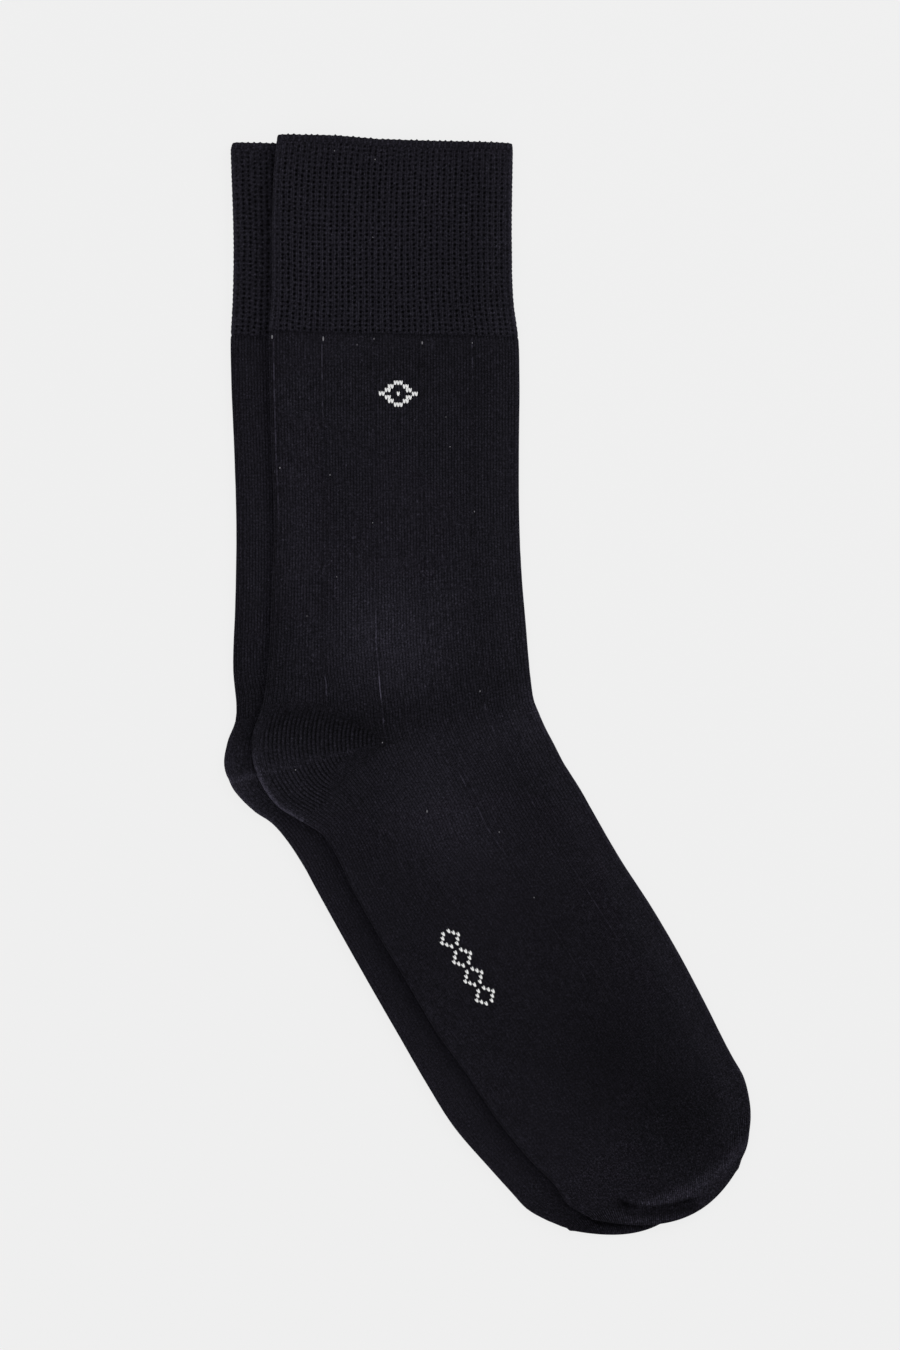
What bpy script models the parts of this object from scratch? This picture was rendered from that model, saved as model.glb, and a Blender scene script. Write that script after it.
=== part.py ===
"""A pair of fine-knit dress socks, laid flat one over the other with the cuffs up and the feet slanting away.

Each sock is one knitted tube, closed at the toe and open at the hem, pressed flat so that its two layers lie
on each other. The walls run through rings, one for each station from the hem to the toe. The stations are
read from a smooth curve through the rows of SECTIONS. +X is the instep side of the leg, +Y is up the leg and
+Z is up from the surface that the pair lies on. The origin is under the middle of the pair.

Run: blender --background --python part.py
"""
from collections import namedtuple

import bmesh
import bpy
import numpy as np

MM = 0.001

# Cloth, in millimetres
WALL = 1.0  # jersey of the leg, heel, foot and toe
CUFF_WALL = 1.3  # elastic mesh of the cuff
LAYER_GAP = 0.5  # room between the two layers of one sock
SOCK_GAP = 0.3  # room between the two socks
FOLD_RADIUS = 1.25  # half width of the roll where a layer folds round a side
HEM_CHAMFER = 0.3  # how much the hem thins at its edge
HEM_CHAMFER_RUN = 1.0  # and over what length
CUFF_STEP = 1.5  # how far the cuff takes to thin to the leg, each side of its last course
BOW_LEAN = 0.18  # how much fuller the bowed lines are towards the instep side
BLUNT_END = 0.3  # share of the thickness left at the very end of the toe
INNER_ROLL = 0.4  # half width of the roll inside a folded side
HOLLOW_END = 9.0  # the layers are gathered in one solid this far from the end of the toe

# How the upper sock lies on the lower one
FRONT_SLIP = (-13.7, -3.0)  # place of the lower sock's instep side from the upper one's
DROOP_START = 2.2  # the upper sock leaves the lower one this far outside its edge
DROOP_RUN = 11.0  # and reaches the surface after this much more
HEM_REACH = 20.0  # past the lower hem the upper sock doesn't droop
SUPPORT_LEAD = 8.0  # the upper sock comes down below the lower cuff within this length
UNDER_SWELL = 0.5  # swells of the lower sock, pressed by the upper one

# Stations and columns
STATION_STEP = 12.5
TOE_STATION_STEP = 6.0
STATION_GAP = 2.5  # two plain stations are at least this far apart
TUCK_CLEARANCE = 1.5  # and this far from the toe's tuck
CUFF_CLEARANCE = 3.5  # and this far from the cuff's end
OUTLINE_ROWS = 160  # points of the plan outline along each side
OUTLINE_END_POINTS = 24  # and across the end of the toe
PLAIN_SHARES = (0.06, 0.20, 0.36, 0.52, 0.68, 0.80, 0.86, 0.90, 0.95)  # columns of a plain face
EDGE_COLUMNS = (0.0, 0.35, 1.25)  # distances from a folded side

# Drop-needle ribs in the upper layer, counted from the instep side, and the section where each one stops
FIRST_RIB = 16.4  # from the instep side
RIB_PITCH = 18.6
RIB_HALF_WIDTH = 0.9
RIB_DEPTH = 0.3
RIB_LEAD = 2.0  # a rib starts this far below the cuff
RIB_RUN = 4.0  # and takes this long to reach its depth
RIB_ENDS = ("toe_cap", "toe_cap", "heel_high", "heel_top")

SWELL_EDGE = 9.0  # swells fade out within this distance of the outline

# One row for each section across a sock: the ends of its line at the heel side and at the instep side of the
# upper sock, how far the line bows towards the toe, and how far the lower sock's heel side is slipped from
# the upper one's. x is from the middle of the pair and y is up from its lower end.
Section = namedtuple("Section", "name back_x back_y front_x front_y bow slip_x slip_y")
SECTIONS = (
    Section("hem", -77.5, 406.4, 9.1, 403.3, 0.0, -17.4, -2.8),
    Section("cuff_high", -78.8, 392.6, 8.9, 389.6, 0.0, -15.7, -2.2),
    Section("cuff_middle", -79.5, 369.3, 8.7, 366.7, 0.0, -14.3, -2.2),
    Section("cuff_low", -79.7, 345.2, 9.5, 343.0, 0.0, -14.5, -1.9),
    Section("cuff_end", -80.6, 333.4, 11.1, 331.2, 0.0, -14.2, -1.5),
    Section("leg_top", -80.5, 318.6, 11.5, 317.1, 0.0, -14.1, -2.2),
    Section("leg_high", -79.7, 289.7, 11.3, 289.7, 0.0, -13.7, -2.6),
    Section("leg_middle", -78.7, 263.8, 11.4, 265.3, 0.0, -14.0, -3.0),
    Section("leg_low", -79.6, 236.1, 12.4, 242.4, 0.0, -13.5, -3.0),
    Section("ankle", -80.7, 213.1, 13.9, 224.6, 0.0, -13.2, -3.7),
    Section("heel_top", -83.1, 195.0, 15.0, 211.3, 0.0, -10.0, -5.9),
    Section("heel_high", -86.5, 184.3, 15.9, 203.1, 0.0, -9.5, -3.0),
    Section("heel_back", -86.6, 175.8, 16.8, 197.2, 0.0, -10.5, -3.0),
    Section("heel_low", -84.2, 168.0, 18.7, 192.4, 0.0, -10.0, -3.0),
    Section("heel_turn", -77.9, 158.7, 21.1, 186.9, 0.0, -8.5, -2.2),
    Section("heel_sole", -68.3, 152.4, 24.4, 180.6, 0.0, -11.5, -0.4),
    Section("heel_end", -60.5, 147.3, 27.6, 174.3, 0.0, -13.5, -1.9),
    Section("sole_start", -55.3, 139.1, 30.3, 170.0, 0.0, -12.6, -3.0),
    Section("arch_high", -50.9, 129.9, 33.9, 164.3, 0.0, -12.6, -1.9),
    Section("arch", -43.1, 115.4, 38.3, 156.5, 0.0, -12.4, -1.9),
    Section("foot_high", -30.2, 94.0, 49.0, 138.0, 0.0, -13.1, -2.2),
    Section("foot_middle", -18.8, 74.7, 60.5, 120.3, 0.0, -13.4, -2.2),
    Section("foot_low", -7.6, 59.2, 70.1, 104.0, 0.0, -15.2, -3.0),
    Section("ball", 4.6, 41.1, 80.5, 84.4, 0.0, -16.3, -2.4),
    Section("toe_start", 16.5, 26.6, 87.9, 69.6, 0.0, -17.8, 0.0),
    Section("toe_cap", 25.0, 18.1, 90.7, 64.4, 0.5, -15.9, -3.0),
    Section("toe_high", 29.0, 12.0, 94.9, 56.6, 1.5, -14.4, -2.8),
    Section("toe_middle", 33.1, 8.7, 97.1, 45.5, 3.0, -11.8, -3.5),
    Section("toe_low", 35.7, 7.2, 96.8, 38.1, 5.9, -10.0, -3.9),
    Section("toe_last", 37.1, 6.4, 95.5, 31.0, 8.3, -9.0, -4.1),
    Section("toe_end", 38.7, 5.9, 92.3, 24.4, 10.5, -8.1, -4.3),
)

# Where the cloth stands a little clear of the layer below it: middle, half length, half width, the turn of
# the length from +X in degrees, and height
Swell = namedtuple("Swell", "name x y length width turn height")
SWELLS = (
    Swell("calf", -40.0, 226.0, 30.0, 19.0, 90.0, 0.9),
    Swell("shin", -8.0, 262.0, 34.0, 10.0, 84.0, 0.35),
    Swell("heel_pocket", -66.0, 176.0, 15.0, 12.0, 60.0, 1.1),
    Swell("ankle_bend", 6.0, 197.0, 9.0, 6.0, 100.0, 0.5),
    Swell("instep", -17.0, 156.0, 24.0, 15.0, -60.0, 1.0),
    Swell("arch_fold", 5.0, 132.0, 18.0, 5.0, 28.0, 0.4),
    Swell("toe_crown", 56.0, 46.0, 22.0, 17.0, -60.0, 0.6),
)

# The tuck in the end of the toe: the lower layer's lip, a slit, and the upper layer's lip. Distances from
# the end, and heights as shares of the sock's thickness
Tuck = namedtuple("Tuck", "from_end share")
TOE_TUCK = (
    Tuck(0.0, 0.58),
    Tuck(0.4, 0.58),
    Tuck(1.25, 0.58),
    Tuck(3.4, 0.58),
    Tuck(4.2, 0.34),
    Tuck(6.2, 0.34),
    Tuck(7.1, 0.88),
    Tuck(8.2, 1.0),
)
TUCK_BACK = (0.08, 0.20)  # shares of the width where the tuck opens at the sole side
TUCK_FRONT = (0.56, 0.76)  # and closes at the instep side

CLOTH_COLOUR = (0.0095, 0.009, 0.0125, 1.0)
CLOTH_ROUGHNESS = 0.95


def ease(value):
    """0 below 0, 1 above 1, and smooth between."""
    value = np.clip(value, 0.0, 1.0)
    return value * value * (3.0 - 2.0 * value)


def smooth_through(knots, values, at):
    """Values on a smooth curve through the knots, one row for each place in at."""
    slopes = np.gradient(values, knots, axis=0)
    left = np.clip(np.searchsorted(knots, at, side="right") - 1, 0, len(knots) - 2)
    span = (knots[left + 1] - knots[left])[:, None]
    t = (np.asarray(at)[:, None] - knots[left][:, None]) / span
    start = (2 * t**3 - 3 * t**2 + 1) * values[left] + (t**3 - 2 * t**2 + t) * span * slopes[left]
    end = (3 * t**2 - 2 * t**3) * values[left + 1] + (t**3 - t**2) * span * slopes[left + 1]
    return start + end


class Layout:
    """The plan of one sock: its stations from the hem to the toe, and lines across it."""

    def __init__(self, under):
        rows = []
        for part in SECTIONS:
            back = np.array([part.back_x, part.back_y])
            front = np.array([part.front_x, part.front_y])
            if under:
                back = back + (part.slip_x, part.slip_y)
                front = front + FRONT_SLIP
            rows.append([*back, *front, part.bow])
        self.values = np.array(rows)
        middles = (self.values[:, 0:2] + self.values[:, 2:4]) / 2 + self.bow_offset(self.values)
        steps = np.linalg.norm(np.diff(middles, axis=0), axis=1)
        self.knots = np.concatenate([[0.0], np.cumsum(steps)])
        self.length = self.knots[-1]

    @staticmethod
    def bulge(shares):
        """Share of its bow that a line has at each share of the way across."""
        return 4 * shares * (1 - shares) * (1 + BOW_LEAN * (2 * shares - 1))

    @staticmethod
    def bow_offset(rows):
        """The shift of a line's middle towards the toe."""
        across = rows[:, 2:4] - rows[:, 0:2]
        across = across / np.linalg.norm(across, axis=1)[:, None]
        return np.stack([across[:, 1], -across[:, 0]], axis=1) * rows[:, 4:5]

    def place(self, name):
        """The distance from the hem to a named section."""
        return self.knots[[part.name for part in SECTIONS].index(name)]

    def stations(self):
        """Distances from the hem: evenly spaced, with more at the cuff's end and at the toe's tuck."""
        cuff = self.place("cuff_end")
        tuck_start = self.length - TOE_TUCK[-1].from_end
        found = [0.0, HEM_CHAMFER_RUN, cuff - CUFF_STEP, cuff + CUFF_STEP]
        found += [self.length - row.from_end for row in TOE_TUCK]
        for start, end in zip(self.knots[:-1], self.knots[1:]):
            step = TOE_STATION_STEP if start >= self.place("ball") else STATION_STEP
            parts = max(1, round((end - start) / step))
            found += list(np.linspace(start, end, parts + 1)[:-1])
        kept = []
        for place in sorted(found):
            from_cuff = abs(place - cuff)
            fixed = place >= tuck_start or place <= HEM_CHAMFER_RUN or np.isclose(from_cuff, CUFF_STEP)
            clear = tuck_start - place > TUCK_CLEARANCE and from_cuff > CUFF_CLEARANCE
            if fixed or (clear and place - kept[-1] > STATION_GAP):
                kept.append(place)
        return np.array(kept)

    def lines(self, places):
        """Back ends, front ends and bows of the lines at these distances from the hem."""
        return smooth_through(self.knots, self.values, places)

    def points(self, places, shares):
        """Plan points at each place, shares of the way across; shares has a row for each place."""
        rows = self.lines(places)
        back, front = rows[:, None, 0:2], rows[:, None, 2:4]
        straight = back + (front - back) * shares[:, :, None]
        return straight + self.bow_offset(rows)[:, None, :] * self.bulge(shares)[:, :, None]

    def widths(self, places):
        rows = self.lines(places)
        return np.linalg.norm(rows[:, 2:4] - rows[:, 0:2], axis=1)

    def outline(self):
        """The closed plan outline, as points in order, carried on past the hem."""
        places = np.linspace(0.0, self.length, OUTLINE_ROWS)
        sides = self.points(places, np.tile([0.0, 1.0], (len(places), 1)))
        end = self.points(np.array([self.length]), np.linspace(0.0, 1.0, OUTLINE_END_POINTS)[None, :])[0]
        past_hem = sides[0] + (0.0, HEM_REACH)
        return np.concatenate([past_hem[:1], sides[:, 0], end[1:-1], sides[::-1, 1], past_hem[1:]])


def distance_outside(points, outline):
    """How far each point is outside a closed outline; 0 for a point inside it."""
    start = outline
    along = np.roll(outline, -1, axis=0) - start
    offset = points[..., None, :] - start
    share = np.clip((offset * along).sum(-1) / (along**2).sum(-1), 0.0, 1.0)
    nearest = np.linalg.norm(offset - share[..., None] * along, axis=-1).min(-1)
    after = start + along
    above = (start[:, 1] > points[..., None, 1]) != (after[:, 1] > points[..., None, 1])
    rise = np.where(along[:, 1] == 0, 1.0, along[:, 1])
    crossing = start[:, 0] + (points[..., None, 1] - start[:, 1]) / rise * along[:, 0]
    inside = (above & (points[..., None, 0] < crossing)).sum(-1) % 2 == 1
    return np.where(inside, 0.0, nearest)


def swell_height(points, slip=(0.0, 0.0)):
    """Height of the swells at plan points."""
    height = np.zeros(points.shape[:-1])
    for swell in SWELLS:
        turn = np.radians(swell.turn)
        x = points[..., 0] - swell.x - slip[0]
        y = points[..., 1] - swell.y - slip[1]
        along = (x * np.cos(turn) + y * np.sin(turn)) / swell.length
        across = (y * np.cos(turn) - x * np.sin(turn)) / swell.width
        height += swell.height * np.exp(-(along**2 + across**2) / 2)
    return height


def thickness(wall):
    """The thickness of a flat sock of this wall."""
    return 2 * wall + LAYER_GAP


class Sock:
    """One sock: its plan, the height it lies at, and the heights of its two layers."""

    def __init__(self, name, under, below=None):
        self.name = name
        self.layout = Layout(under)
        self.swell_share = UNDER_SWELL if under else 1.0
        self.slip = FRONT_SLIP if under else (0.0, 0.0)
        self.below = below
        self.cuff_end = self.layout.place("cuff_end")
        self.toe_cap = self.layout.place("toe_cap")

    def rib_shares(self, places):
        """Shares of the width that the ribs are at. They keep their distance from the instep side."""
        widths = self.layout.widths(np.minimum(places, self.toe_cap))
        from_front = FIRST_RIB + RIB_PITCH * np.arange(len(RIB_ENDS))
        return 1 - from_front / widths[:, None]

    def cuff_share(self, places):
        return 1 - ease((places - self.cuff_end + CUFF_STEP) / (2 * CUFF_STEP))

    def walls(self, places):
        return WALL + (CUFF_WALL - WALL) * self.cuff_share(places)

    def swells(self, points):
        return self.swell_share * swell_height(points, self.slip)

    def support(self, points):
        """The height that the sock's underside lies at: 0 on the surface, and more on the sock below."""
        if self.below is None:
            return np.zeros(points.shape[:-1])
        below = self.below
        rows = below.layout.lines(np.array([below.cuff_end]))[0]
        cuff_y = min(rows[1], rows[3])
        in_cuff = ease((points[..., 1] - cuff_y + SUPPORT_LEAD) / (SUPPORT_LEAD - CUFF_STEP))
        flat = thickness(WALL) + (thickness(CUFF_WALL) - thickness(WALL)) * in_cuff
        outside = distance_outside(points, below.layout.outline())
        return (flat + below.swells(points) + SOCK_GAP) * (1 - ease((outside - DROOP_START) / DROOP_RUN))

    def full_height(self, places, shares, widths, points):
        """Thickness of the pressed sock at each point, with its swells and without its rolled sides."""
        from_end = self.layout.length - places
        flat = thickness(self.walls(places))
        flat = flat - HEM_CHAMFER * (1 - ease(places / HEM_CHAMFER_RUN))
        side = np.minimum(shares, 1 - shares) * widths[:, None]
        edge = ease(np.minimum(side, from_end[:, None]) / SWELL_EDGE)
        full = flat[:, None] + self.swells(points) * edge * ease(places / SWELL_EDGE)[:, None]
        tuck = np.interp(from_end, [row.from_end for row in TOE_TUCK], [row.share for row in TOE_TUCK])
        tuck = tuck * thickness(WALL)
        opened = ease((shares - TUCK_BACK[0]) / (TUCK_BACK[1] - TUCK_BACK[0]))
        opened = opened * (1 - ease((shares - TUCK_FRONT[0]) / (TUCK_FRONT[1] - TUCK_FRONT[0])))
        opened = opened * (from_end < TOE_TUCK[-1].from_end)[:, None]
        return full + (tuck[:, None] - full) * opened

    def rib_grooves(self, places, shares, widths):
        """Depth of the ribs' grooves in the upper layer."""
        groove = np.zeros(shares.shape)
        for rib, last in zip(self.rib_shares(places).T, RIB_ENDS):
            run = ease((places - self.cuff_end - RIB_LEAD) / RIB_RUN)
            run = run * ease((self.layout.place(last) - places) / RIB_RUN)
            off = np.abs(shares - rib[:, None]) * widths[:, None]
            groove += RIB_DEPTH * run[:, None] * (off < RIB_HALF_WIDTH / 2)
        return groove


def rolled(distance, radius):
    """Share of the full height at a distance from a rolled edge."""
    share = np.clip(distance / radius, 0.0, 1.0)
    return np.sqrt(1 - (1 - share) ** 2)


def edge_shares(widths):
    """Shares of the width of the columns at the two rolled sides."""
    edges = np.array(EDGE_COLUMNS) / widths[:, None]
    return np.hstack([edges, 1 - edges])


def plain_columns(widths):
    """Shares of the width of each column of a face with no ribs."""
    plain = np.tile(PLAIN_SHARES, (len(widths), 1))
    return np.sort(np.hstack([edge_shares(widths), plain]), axis=1)


def ribbed_columns(sock, places, widths):
    """Shares of the width of each column of the ribbed face: three to a rib and one between."""
    ribs = sock.rib_shares(places)
    half = RIB_HALF_WIDTH / widths[:, None]
    ones = np.ones((len(places), 1))
    beside = np.hstack([ones, ribs, 0 * ones])
    between = (beside[:, 1:] + beside[:, :-1]) / 2
    return np.sort(np.hstack([edge_shares(widths), ribs - half, ribs, ribs + half, between]), axis=1)


def outer_face(sock, places, upper):
    """Points of the outside of the upper or the lower layer, with the shares of the width they are at."""
    widths = sock.layout.widths(places)
    shares = ribbed_columns(sock, places, widths) if upper else plain_columns(widths)
    points = sock.layout.points(places, shares)
    full = sock.full_height(places, shares, widths, points)
    side = np.minimum(shares, 1 - shares) * widths[:, None]
    end = BLUNT_END + (1 - BLUNT_END) * rolled(sock.layout.length - places, FOLD_RADIUS)
    half = full / 2 * rolled(side, FOLD_RADIUS) * end[:, None]
    if upper:
        height = full / 2 + half - sock.rib_grooves(places, shares, widths)
    else:
        height = full / 2 - half
    return np.dstack([points, height + sock.support(points)]), shares


def inner_face(sock, places, upper):
    """Points of the inside of a layer, a wall's thickness in from its outside."""
    walls = sock.walls(places)
    widths = sock.layout.widths(places)
    open_widths = widths - 2 * walls
    shares = plain_columns(open_widths)
    across = (shares * open_widths[:, None] + walls[:, None]) / widths[:, None]
    points = sock.layout.points(places, across)
    full = sock.full_height(places, across, widths, points)
    side = np.minimum(shares, 1 - shares) * open_widths[:, None]
    half = (full / 2 - walls[:, None]) * rolled(side, INNER_ROLL)
    height = full / 2 + half if upper else full / 2 - half
    return np.dstack([points, height + sock.support(points)]), shares


def add_rings(mesh, upper, lower):
    """Vertices of the rings round a sock: across the upper layer, then back across the lower one."""
    rings = []
    for top, bottom in zip(upper, lower):
        around = np.concatenate([top, bottom[-2:0:-1]])
        rings.append([mesh.verts.new(point * MM) for point in around])
    return rings


def join_rings(mesh, rings):
    """Faces between each ring and the next."""
    for ring, following in zip(rings[:-1], rings[1:]):
        for index in range(len(ring)):
            after = (index + 1) % len(ring)
            mesh.faces.new((ring[index], ring[after], following[after], following[index]))


def stitch(mesh, one, one_at, other, other_at):
    """Triangles between two chains of vertices, taken in the order of their places."""
    i = j = 0
    while i < len(one) - 1 or j < len(other) - 1:
        next_one = one_at[i + 1] if i < len(one) - 1 else np.inf
        next_other = other_at[j + 1] if j < len(other) - 1 else np.inf
        if next_one <= next_other:
            corners = (one[i], one[i + 1], other[j])
            i += 1
        else:
            corners = (one[i], other[j + 1], other[j])
            j += 1
        if len(set(corners)) == 3:
            mesh.faces.new(corners)


def close_end(mesh, ring, top_shares, bottom_shares):
    """Faces between the two layers at the last ring of a wall."""
    count = len(top_shares)
    top = ring[:count]
    bottom = [ring[0], *ring[:count - 1:-1], ring[count - 1]]
    stitch(mesh, top, top_shares, bottom, bottom_shares)


def close_hem(mesh, outer, outer_at, inner, inner_at):
    """The hem's edge, between the outside's first ring and the inside's."""
    stitch(mesh, outer + outer[:1], [*outer_at, 2.0], inner + inner[:1], [*inner_at, 2.0])


def around_at(top_shares, bottom_shares):
    """Places round a ring: 0 to 1 across the upper layer and 1 to 2 back across the lower one."""
    return [*top_shares, *(2 - share for share in bottom_shares[-2:0:-1])]


def build_sock(sock, material):
    """One sock as a closed wall with its mouth open at the hem."""
    places = sock.layout.stations()
    hollow = places[places < sock.layout.length - HOLLOW_END]
    top, top_at = outer_face(sock, places, upper=True)
    bottom, bottom_at = outer_face(sock, places, upper=False)
    inner_top, inner_at = inner_face(sock, hollow, upper=True)
    inner_bottom, _ = inner_face(sock, hollow, upper=False)

    mesh = bmesh.new()
    outside = add_rings(mesh, top, bottom)
    inside = add_rings(mesh, inner_top, inner_bottom)
    join_rings(mesh, outside)
    join_rings(mesh, inside)
    close_end(mesh, outside[-1], top_at[-1], bottom_at[-1])
    close_end(mesh, inside[-1], inner_at[-1], inner_at[-1])
    close_hem(
        mesh,
        outside[0],
        around_at(top_at[0], bottom_at[0]),
        inside[0],
        around_at(inner_at[0], inner_at[0]),
    )
    bmesh.ops.triangulate(mesh, faces=mesh.faces[:])
    bmesh.ops.recalc_face_normals(mesh, faces=mesh.faces[:])
    data = bpy.data.meshes.new(sock.name)
    mesh.to_mesh(data)
    mesh.free()
    data.materials.append(material)
    data.shade_smooth()
    thing = bpy.data.objects.new(sock.name, data)
    bpy.context.collection.objects.link(thing)
    return thing


def cloth(name):
    """Near-black combed cotton jersey."""
    material = bpy.data.materials.new(name)
    material.use_nodes = True
    shader = material.node_tree.nodes["Principled BSDF"]
    shader.inputs["Base Color"].default_value = CLOTH_COLOUR
    shader.inputs["Roughness"].default_value = CLOTH_ROUGHNESS
    shader.inputs["Metallic"].default_value = 0.0
    material.diffuse_color = CLOTH_COLOUR
    return material


def set_origin(things):
    """Moves the pair so that the origin is under its middle, in the meshes themselves."""
    corners = np.array([vertex.co for thing in things for vertex in thing.data.vertices])
    low, high = corners.min(axis=0), corners.max(axis=0)
    shift = np.array([(low[0] + high[0]) / 2, (low[1] + high[1]) / 2, 0.0])
    for thing in things:
        for vertex in thing.data.vertices:
            vertex.co = np.array(vertex.co) - shift


def main():
    for thing in list(bpy.data.objects):
        bpy.data.objects.remove(thing, do_unlink=True)
    under = Sock("sock_under", under=True)
    over = Sock("sock_over", under=False, below=under)
    things = [build_sock(under, cloth("jersey_under")), build_sock(over, cloth("jersey_over"))]
    set_origin(things)


main()
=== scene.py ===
"""The looks of a pair of fine-knit dress socks that lie flat, one over the other, cuffs up.

Each piece is knitted flat, as a grid with a few columns to every wale, and is then wrapped round the form of
its sock: across the upper layer from the instep side, round the heel side, and back across the lower layer.
The form repeats the plan that the solids are made from. Lengths are in millimetres in the tables, and in
metres in the meshes. x is from the middle of the pair, and y is up from the end of the lower sock's toe.
"""

from collections import namedtuple

import bpy
import numpy as np
from mathutils import Matrix, Vector


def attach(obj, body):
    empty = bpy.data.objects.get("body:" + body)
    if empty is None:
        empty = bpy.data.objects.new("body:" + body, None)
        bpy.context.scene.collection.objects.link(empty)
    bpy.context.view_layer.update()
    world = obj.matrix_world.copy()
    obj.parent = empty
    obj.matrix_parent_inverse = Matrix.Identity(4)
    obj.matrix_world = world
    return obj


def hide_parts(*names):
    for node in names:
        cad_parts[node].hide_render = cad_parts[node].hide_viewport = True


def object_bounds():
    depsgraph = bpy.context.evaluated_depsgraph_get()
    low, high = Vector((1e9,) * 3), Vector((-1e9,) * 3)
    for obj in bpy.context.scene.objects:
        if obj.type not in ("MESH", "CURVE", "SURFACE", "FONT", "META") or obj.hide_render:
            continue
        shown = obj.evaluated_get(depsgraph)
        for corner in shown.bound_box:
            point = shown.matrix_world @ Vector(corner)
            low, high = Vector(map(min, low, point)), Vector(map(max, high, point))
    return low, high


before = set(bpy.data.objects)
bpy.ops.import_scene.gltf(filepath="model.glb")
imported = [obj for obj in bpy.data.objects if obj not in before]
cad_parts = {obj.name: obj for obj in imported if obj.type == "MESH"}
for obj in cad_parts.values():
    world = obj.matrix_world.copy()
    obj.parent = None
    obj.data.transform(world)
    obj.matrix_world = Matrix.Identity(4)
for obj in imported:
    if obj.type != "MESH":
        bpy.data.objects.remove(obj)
cad_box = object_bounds()
bpy.ops.object.select_all(action="DESELECT")

MM = 0.001

# Cloth
WALL = 1.0
CUFF_WALL = 1.3
LAYER_GAP = 0.5  # between the two layers of a pressed sock
SOCK_GAP = 0.3
FOLD_RADIUS = 1.25
INSIDE_SHARE = 0.98  # how deep in its wall a shell's inside lies
MEET = 2e-6  # edges of a piece that are this near, in metres, are joined

# How the upper sock lies on the lower one
FRONT_SLIP = (-13.7, -3.0)  # from its instep side to the lower one's
DROOP_START = 2.2  # how far past the lower sock it begins to droop
DROOP_RUN = 11.0
HEM_REACH = 20.0  # how far past its hem the lower sock still counts as carrying it
SUPPORT_LEAD = 8.0  # how far before the lower sock's cuff it begins to rise
CUFF_STEP = 1.5  # how far before that cuff it has risen
UNDER_SWELL = 0.5  # share of the swells that the lower sock has
SWELL_EDGE = 9.0  # how far in from its edges a sock swells fully

# Edges
BOW_LEAN = 0.18  # how much fuller the bowed lines are towards the instep side
RIM_OUT = 0.42  # how far the knit of a folded side stands out from its wall
END_OUT = 0.85  # how far the toe's end does
END_OUT_RUN = 3.0
RIM_HIGHLIGHT_WIDTH = 1.6  # width of the painted highlight along a folded side
RIM_HIGHLIGHT_TONE = 0.12
FUZZ_AND_RIM_LIGHT_WIDTH = 0.7  # width of the fluff and of the painted rim light that show along an outer side
FUZZ_AND_RIM_LIGHT_TONE = 0.45
FRONT_CORNER_INSET = 0.25  # how far the hem's corners are drawn in
BACK_CORNER_INSETS = (0.7, 0.2)  # of the lower and the upper sock
CORNER_RUN = 3.0
HEM_WAVE = ((0.0, 0.0), (0.25, 0.3), (0.42, -0.5), (0.65, -0.45), (1.0, 0.0))  # share across, and rise
HEM_WAVE_RUN = 22.0

# Knit
FACE_WALES = 84  # across one layer; a sock has twice as many
APEX_WALE = 49  # the wale that meets the point of the heel
COURSE = 1.35
UPPER_RIBS = (16, 33, 49, 66, 82)  # the wales that drop-needle ribs take the place of, on each layer
LOWER_RIBS = (17, 34, 51, 68)
RIB_START = 0.8  # from the cuff's end to the heads of the ribs
RIB_FADE = 6.0
BEND_SHUTS = 0.9  # how far the ribs of the instep side are shut at the bend of the ankle
BEND_LEAD = 8.0  # from the middle of that bend to the gore
BEND_RUN = 15.0
LIT_FADES = (1.5, 3.0)  # at the top and at the bottom of a rib's lit stretch
GRAIN = 0.025  # random dents of the knit
CREASE_EDGE = 7.0  # how far in from the folds a crease is full
CREASE_TOP = 0.25  # the highest that a crease stands
LOWER_CREASES = 0.7  # how deep the creases of the lower layer are, beside the upper one's
RELIEF_TOP = 0.28  # the highest that the cloth of the leg and foot stands
UNDER_TONE = -0.05
FOOT_TONE = 0.10
UNDER_FOOT_TONE = 0.10
# how much darker the lower sock's toe cap is: partly painted shadow of the upper sock, partly darker cloth
UNDER_TOE_TONE = 0.17

# Cuff
CUFF_PITS = 41  # across one layer
CUFF_PIT_ROWS = 40
CUFF_PIT_STEPS = 4  # rows of the grid to a row of pits
CUFF_INSIDE_ROWS = 8
CUFF_OVERLAP = 0.2  # how far it goes in under the welt
CUFF_TONE = 0.30
CUFF_STAGGER = 0.11  # how far a column of pits strays from the one beside it, in rows
CUFF_STRAY = 0.5  # share of that column's own stray that it keeps
# How far the rows of the mesh drop, in rows, from the heel side (0) to the instep side (1)
CUFF_SLANT = ((0.0, 0.0), (0.1, 0.3), (0.2, 0.6), (0.3, 0.76), (0.4, 0.72), (0.5, 0.58), (1.0, -0.25))
CUFF_BY_SIDE = (0.7, 2.0)  # how much shallower the mesh is at the folds, and how far in
CUFF_BY_INSTEP = (1.08, 0.30)  # its depth at the heel side, and how much less it is at the instep side
CUFF_BY_WELT = (0.38, 11.0)  # how much shallower it is at the welt, and how far below
SPARE_PIT_ROWS = (4, 3)  # past the mesh's two ends, for the columns that are slipped
# Between what a pit's size lies, and its place across and along
PIT_SPREADS = ((0.65, 1.15), (-0.08, 0.08), (-0.10, 0.10))
PIT_HALF = (0.21, 0.27)  # half size of a pit, in columns and rows
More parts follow.
